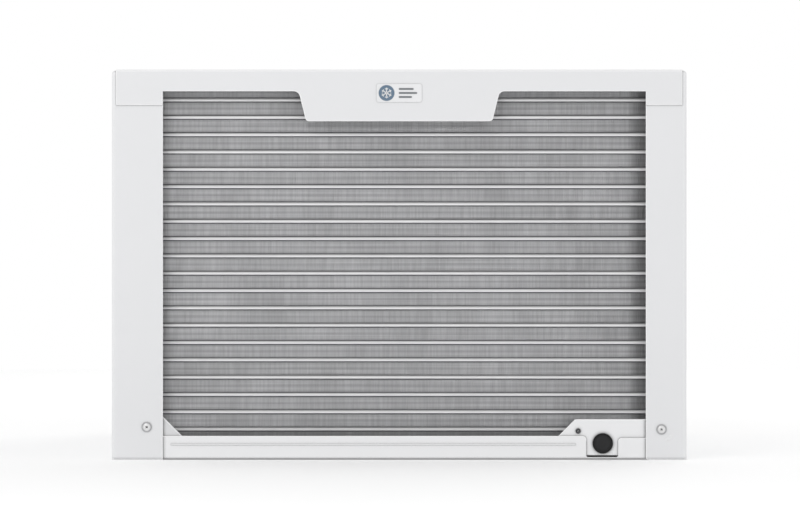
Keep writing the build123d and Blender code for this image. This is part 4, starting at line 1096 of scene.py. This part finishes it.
# ---- Motor and compressor ----
# Motor shell: painted grey steel. Compressor can and accumulator: black baked enamel with a slight
# ripple. Motor capacitor: a bright drawn aluminium can.
motor_paint = powder_paint("motor_paint", (0.24, 0.25, 0.27, 1), (0.42, 0.43, 0.45, 1))
enamel, tree, shader, slow, fine = skinned_material("black_enamel", 240.0, 14.0)
edge = use_group(tree, soft_edge, Radius=1.2 * MM)
tone = mix_colour(tree, slow, (0.016, 0.016, 0.018, 1), (0.030, 0.030, 0.032, 1))
# Painted highlight: the edges of the black enamel turn a lighter grey.
feed(shader, "Base Color", mix_colour(tree, edge.outputs["Mask"], tone, (0.09, 0.09, 0.09, 1)))
feed(shader, "Roughness", spread_value(tree, slow, 0.26, 0.40))
shader.inputs["Coat Weight"].default_value = 0.25
add_bump(tree, shader, fine, 0.3 * MM, 0.2, edge.outputs["Normal"])
capacitor_metal = spangled_zinc("capacitor_metal", (0.78, 0.78, 0.79, 1), (0.72, 0.72, 0.73, 1), 0.30)
finish_nodes(motor_paint, "fan_motor")
finish_nodes(enamel, "compressor")
finish_nodes(capacitor_metal, "run_capacitor")


# ---- Room front ----
# Front panel, intake grille, louvers and vanes: injection-moulded polystyrene in warm white, with
# a fine satin grain. The control plate and buttons are a little smoother. The vent lever, swing
# motor and filter frame are dark.
FRONT_COLOUR = (0.800, 0.795, 0.775, 1)
VANES = [f"vane_{number}" for number in range(1, 7)]
LOUVERS = [f"louver_{place}" for place in ("bottom", "middle", "top")]
BUTTONS = [f"{use}_button" for use in ("power", "mode", "fan_speed", "timer", "temp_down", "temp_up")]

front_plastic = moulded_plastic("front_plastic", FRONT_COLOUR, relief=0.3, roughness=0.42, edge_highlight_lift=1.08)
louver_plastic = moulded_plastic("louver_plastic", (0.76, 0.755, 0.735, 1), relief=0.2, roughness=0.38)
fascia_plastic = moulded_plastic(
    "fascia_plastic", (0.70, 0.70, 0.695, 1), grain=1600.0, relief=0.15, roughness=0.34
)
button_plastic = moulded_plastic(
    "button_plastic", (0.86, 0.86, 0.85, 1), grain=1600.0, relief=0.12, roughness=0.32
)
dark_plastic = moulded_plastic("dark_plastic", (0.055, 0.057, 0.062, 1), roughness=0.4, edge_highlight_lift=1.6)
finish_nodes(front_plastic, "front_panel", "intake_grille")
finish_nodes(louver_plastic, "vane_link", *LOUVERS, *VANES)
finish_nodes(fascia_plastic, "control_fascia")
finish_nodes(dark_plastic, "swing_motor", "vent_lever", "filter_frame")
finish_nodes(button_plastic, *BUTTONS)


# ---- Button signs ----
# Each button has a plain sign printed on it in dark grey: power ring, snowflake, fan, clock,
# minus and plus. The prints lie flush in the button's face and travel with it.
SIGN_DEPTH = 0.12 * MM
SIGN_WIDTH = 0.65 * MM
SIGN_R = 3.1 * MM


def ring(middle_point, radius, width, depth, gap=0.0):
    """A flat ring in the X-Z plane, open at the top by the gap angle."""
    bpy.ops.object.select_all(action="DESELECT")
    inner_r = radius - width / 2
    bpy.ops.mesh.primitive_circle_add(
        vertices=40, radius=inner_r, fill_type="NOTHING", location=middle_point, rotation=(QUARTER, 0, 0)
    )
    made = bpy.context.object
    settle(made)
    edit(made)
    bpy.ops.mesh.select_all(action="SELECT")
    bpy.ops.mesh.extrude_edges_move()
    outer = 1 + width / inner_r
    bpy.ops.transform.resize(value=(outer, 1, outer), center_override=middle_point)

    def is_in_the_gap(face):
        away = face.calc_center_median() - middle_point
        return abs(math.atan2(away.x, away.z)) < gap

    pick(made, "FACE", is_in_the_gap)
    bpy.ops.mesh.delete(type="FACE")
    face_outwards(made)
    apply_modifier(made, "SOLIDIFY", thickness=depth, offset=0)
    return made


def stroke(at, shift_x, shift_z, length, angle=0.0, width=SIGN_WIDTH):
    """A printed stroke, its shift and length in sign radii."""
    spot = at + Vector((shift_x, 0, shift_z)) * SIGN_R
    return bar(spot, length * SIGN_R, width, SIGN_DEPTH, angle)


def sign_power(at):
    """A ring open at the top, with a stroke standing in the gap."""
    return [ring(at, SIGN_R, SIGN_WIDTH, SIGN_DEPTH, math.radians(36)), stroke(at, 0, 0.7, 1.0)]


def sign_cool(at):
    """A snowflake."""
    return [snowflake(at, SIGN_R, SIGN_WIDTH * 0.8, SIGN_DEPTH)]


def sign_fan(at):
    """A hub ring and three slanted blades."""
    strokes = [ring(at, SIGN_R * 0.28, SIGN_WIDTH, SIGN_DEPTH)]
    for angle in (0, math.radians(120), math.radians(240)):
        across, up = 0.8 * math.sin(angle), 0.8 * math.cos(angle)
        strokes.append(stroke(at, across, up, 0.7, angle + 0.5, SIGN_WIDTH * 1.9))
    return strokes


def sign_clock(at):
    """A ring with two hands."""
    dial = ring(at, SIGN_R, SIGN_WIDTH, SIGN_DEPTH)
    return [dial, stroke(at, 0, 0.3, 0.8), stroke(at, 0.25, 0, 0.6, QUARTER)]


def sign_minus(at):
    """A level stroke."""
    return [stroke(at, 0, 0, 1.7, QUARTER)]


def sign_plus(at):
    """A level stroke and an upright one."""
    return sign_minus(at) + [stroke(at, 0, 0, 1.7)]


print_ink, tree, shader, slow, fine = skinned_material("print_ink", 2500.0, 150.0)
ink = mix_colour(tree, slow, (0.050, 0.055, 0.065, 1), (0.085, 0.09, 0.10, 1))
feed(shader, "Base Color", ink)
shader.inputs["Roughness"].default_value = 0.5
add_bump(tree, shader, fine, 0.05 * MM, 0.2)
SIGNS = (sign_power, sign_cool, sign_fan, sign_clock, sign_minus, sign_plus)
for button, draw in zip(BUTTONS, SIGNS):
    low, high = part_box(button)
    face_middle = (low + high) / 2
    face_middle.y = low.y + SIGN_DEPTH / 2
    sign = join(draw(face_middle))
    finish_piece(sign, button.replace("_button", "_sign"), button, print_ink)


# ---- Display ----
# A smoked acrylic window in the control plate. Two lit figures at its face show the set
# temperature, each made of straight bars, with a small degree ring.
FIGURE_HEIGHT = 12.0 * MM
FIGURE_WIDTH = 6.4 * MM
BAR_WIDTH = 1.05 * MM
FIGURE_BARS = {"7": "abc", "2": "abged"}
TENS_X, UNITS_X = -6.8 * MM, 4.8 * MM
DEGREE_X, DEGREE_Z = 12.6 * MM, 5.0 * MM
DEGREE_R, DEGREE_WIDTH = 1.5 * MM, 0.7 * MM

smoked, tree, shader, slow, fine = skinned_material("smoked_window", 300.0, 30.0)
tint = mix_colour(tree, slow, (0.010, 0.012, 0.016, 1), (0.018, 0.020, 0.026, 1))
feed(shader, "Base Color", tint)
feed(shader, "Roughness", spread_value(tree, slow, 0.06, 0.14))
shader.inputs["Coat Weight"].default_value = 0.6
add_bump(tree, shader, fine, 0.03 * MM, 0.1)
finish_nodes(smoked, "display_window")

low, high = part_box("display_window")
window_middle = (low + high) / 2
window_middle.y = low.y + 0.02 * MM


def figure(character, at):
    """One figure about a middle point; bars a to f run round from the top, and g is the middle."""
    half_w, half_h = FIGURE_WIDTH / 2, FIGURE_HEIGHT / 2
    spots = {
        "a": (0, half_h, QUARTER),
        "b": (half_w, half_h / 2, 0),
        "c": (half_w, -half_h / 2, 0),
        "d": (0, -half_h, QUARTER),
        "e": (-half_w, -half_h / 2, 0),
        "f": (-half_w, half_h / 2, 0),
        "g": (0, 0, QUARTER),
    }
    strokes = []
    for letter in FIGURE_BARS[character]:
        across, up, angle = spots[letter]
        length = (FIGURE_WIDTH if angle else half_h) - BAR_WIDTH * 0.6
        strokes.append(bar(at + Vector((across, 0, up)), length, BAR_WIDTH, SIGN_DEPTH, angle))
    return strokes


lit = figure("7", window_middle + Vector((TENS_X, 0, 0)))
lit += figure("2", window_middle + Vector((UNITS_X, 0, 0)))
lit.append(ring(window_middle + Vector((DEGREE_X, 0, DEGREE_Z)), DEGREE_R, DEGREE_WIDTH, SIGN_DEPTH))
glow, tree, shader, slow = skinned_material("figure_glow", 900.0, 120.0)[:4]
light = mix_colour(tree, slow, (0.35, 0.85, 0.80, 1), (0.55, 1.0, 0.92, 1))
feed(shader, "Emission Color", light)
shader.inputs["Base Color"].default_value = (0.2, 0.5, 0.45, 1)
shader.inputs["Emission Strength"].default_value = 1.6
finish_piece(join(lit), "display_figures", "chassis", glow)


# ---- Filter mesh ----
# The washable filter: a square mesh of fine nylon threads welded into its frame, in place of the
# two flat panels that the frame's middle rib divides.
THREAD_PITCH = 2.0 * MM
THREAD = 0.34 * MM
CROSSING = 0.1 * MM

low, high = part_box("filter_mesh")
near, far = (low.y + high.y - THREAD) / 2, (low.y + high.y + THREAD) / 2


def threads(count, first_low, first_high, step):
    """One thread, a thin bar with its edges taken off, repeated."""
    made = block(first_low, first_high)
    edit(made)
    bpy.ops.mesh.select_all(action="SELECT")
    bpy.ops.mesh.bevel(offset=THREAD * 0.2, segments=1, affect="EDGES")
    bpy.ops.object.mode_set(mode="OBJECT")
    array(made, count, step)
    return made


upright_threads = threads(
    int((high.x - low.x) / THREAD_PITCH),
    (low.x + MM, near, low.z),
    (low.x + MM + THREAD, far, high.z),
    (THREAD_PITCH, 0, 0),
)
level_threads = threads(
    int((high.z - low.z) / THREAD_PITCH),
    (low.x, near + CROSSING, low.z + MM),
    (high.x, far + CROSSING, low.z + MM + THREAD),
    (0, 0, THREAD_PITCH),
)
nylon = moulded_plastic("nylon_thread", (0.16, 0.18, 0.21, 1), roughness=0.5)
mesh = join([upright_threads, level_threads])
finish_piece(mesh, "filter_threads", "filter", nylon, ["filter_mesh"])


# ---- Circuit board ----
# Display and button board behind the control plate: green lacquered glass laminate with copper
# lands, tactile switches behind the buttons and a few chips.
laminate, tree, shader = new_material("board_laminate")
lands = add_node(
    tree,
    "ShaderNodeTexBrick",
    {
        "Scale": 160.0,
        "Mortar Size": 0.06,
        "Color1": (0.012, 0.12, 0.055, 1),
        "Color2": (0.016, 0.15, 0.07, 1),
        "Mortar": (0.03, 0.22, 0.10, 1),
    },
)
tree.links.new(object_place(tree), lands.inputs["Vector"])
feed(shader, "Base Color", lands.outputs["Color"])
feed(shader, "Roughness", spread_value(tree, lands.outputs["Fac"], 0.3, 0.45))
add_bump(tree, shader, lands.outputs["Fac"], 0.05 * MM, 0.3)
finish_nodes(laminate, "circuit_board")
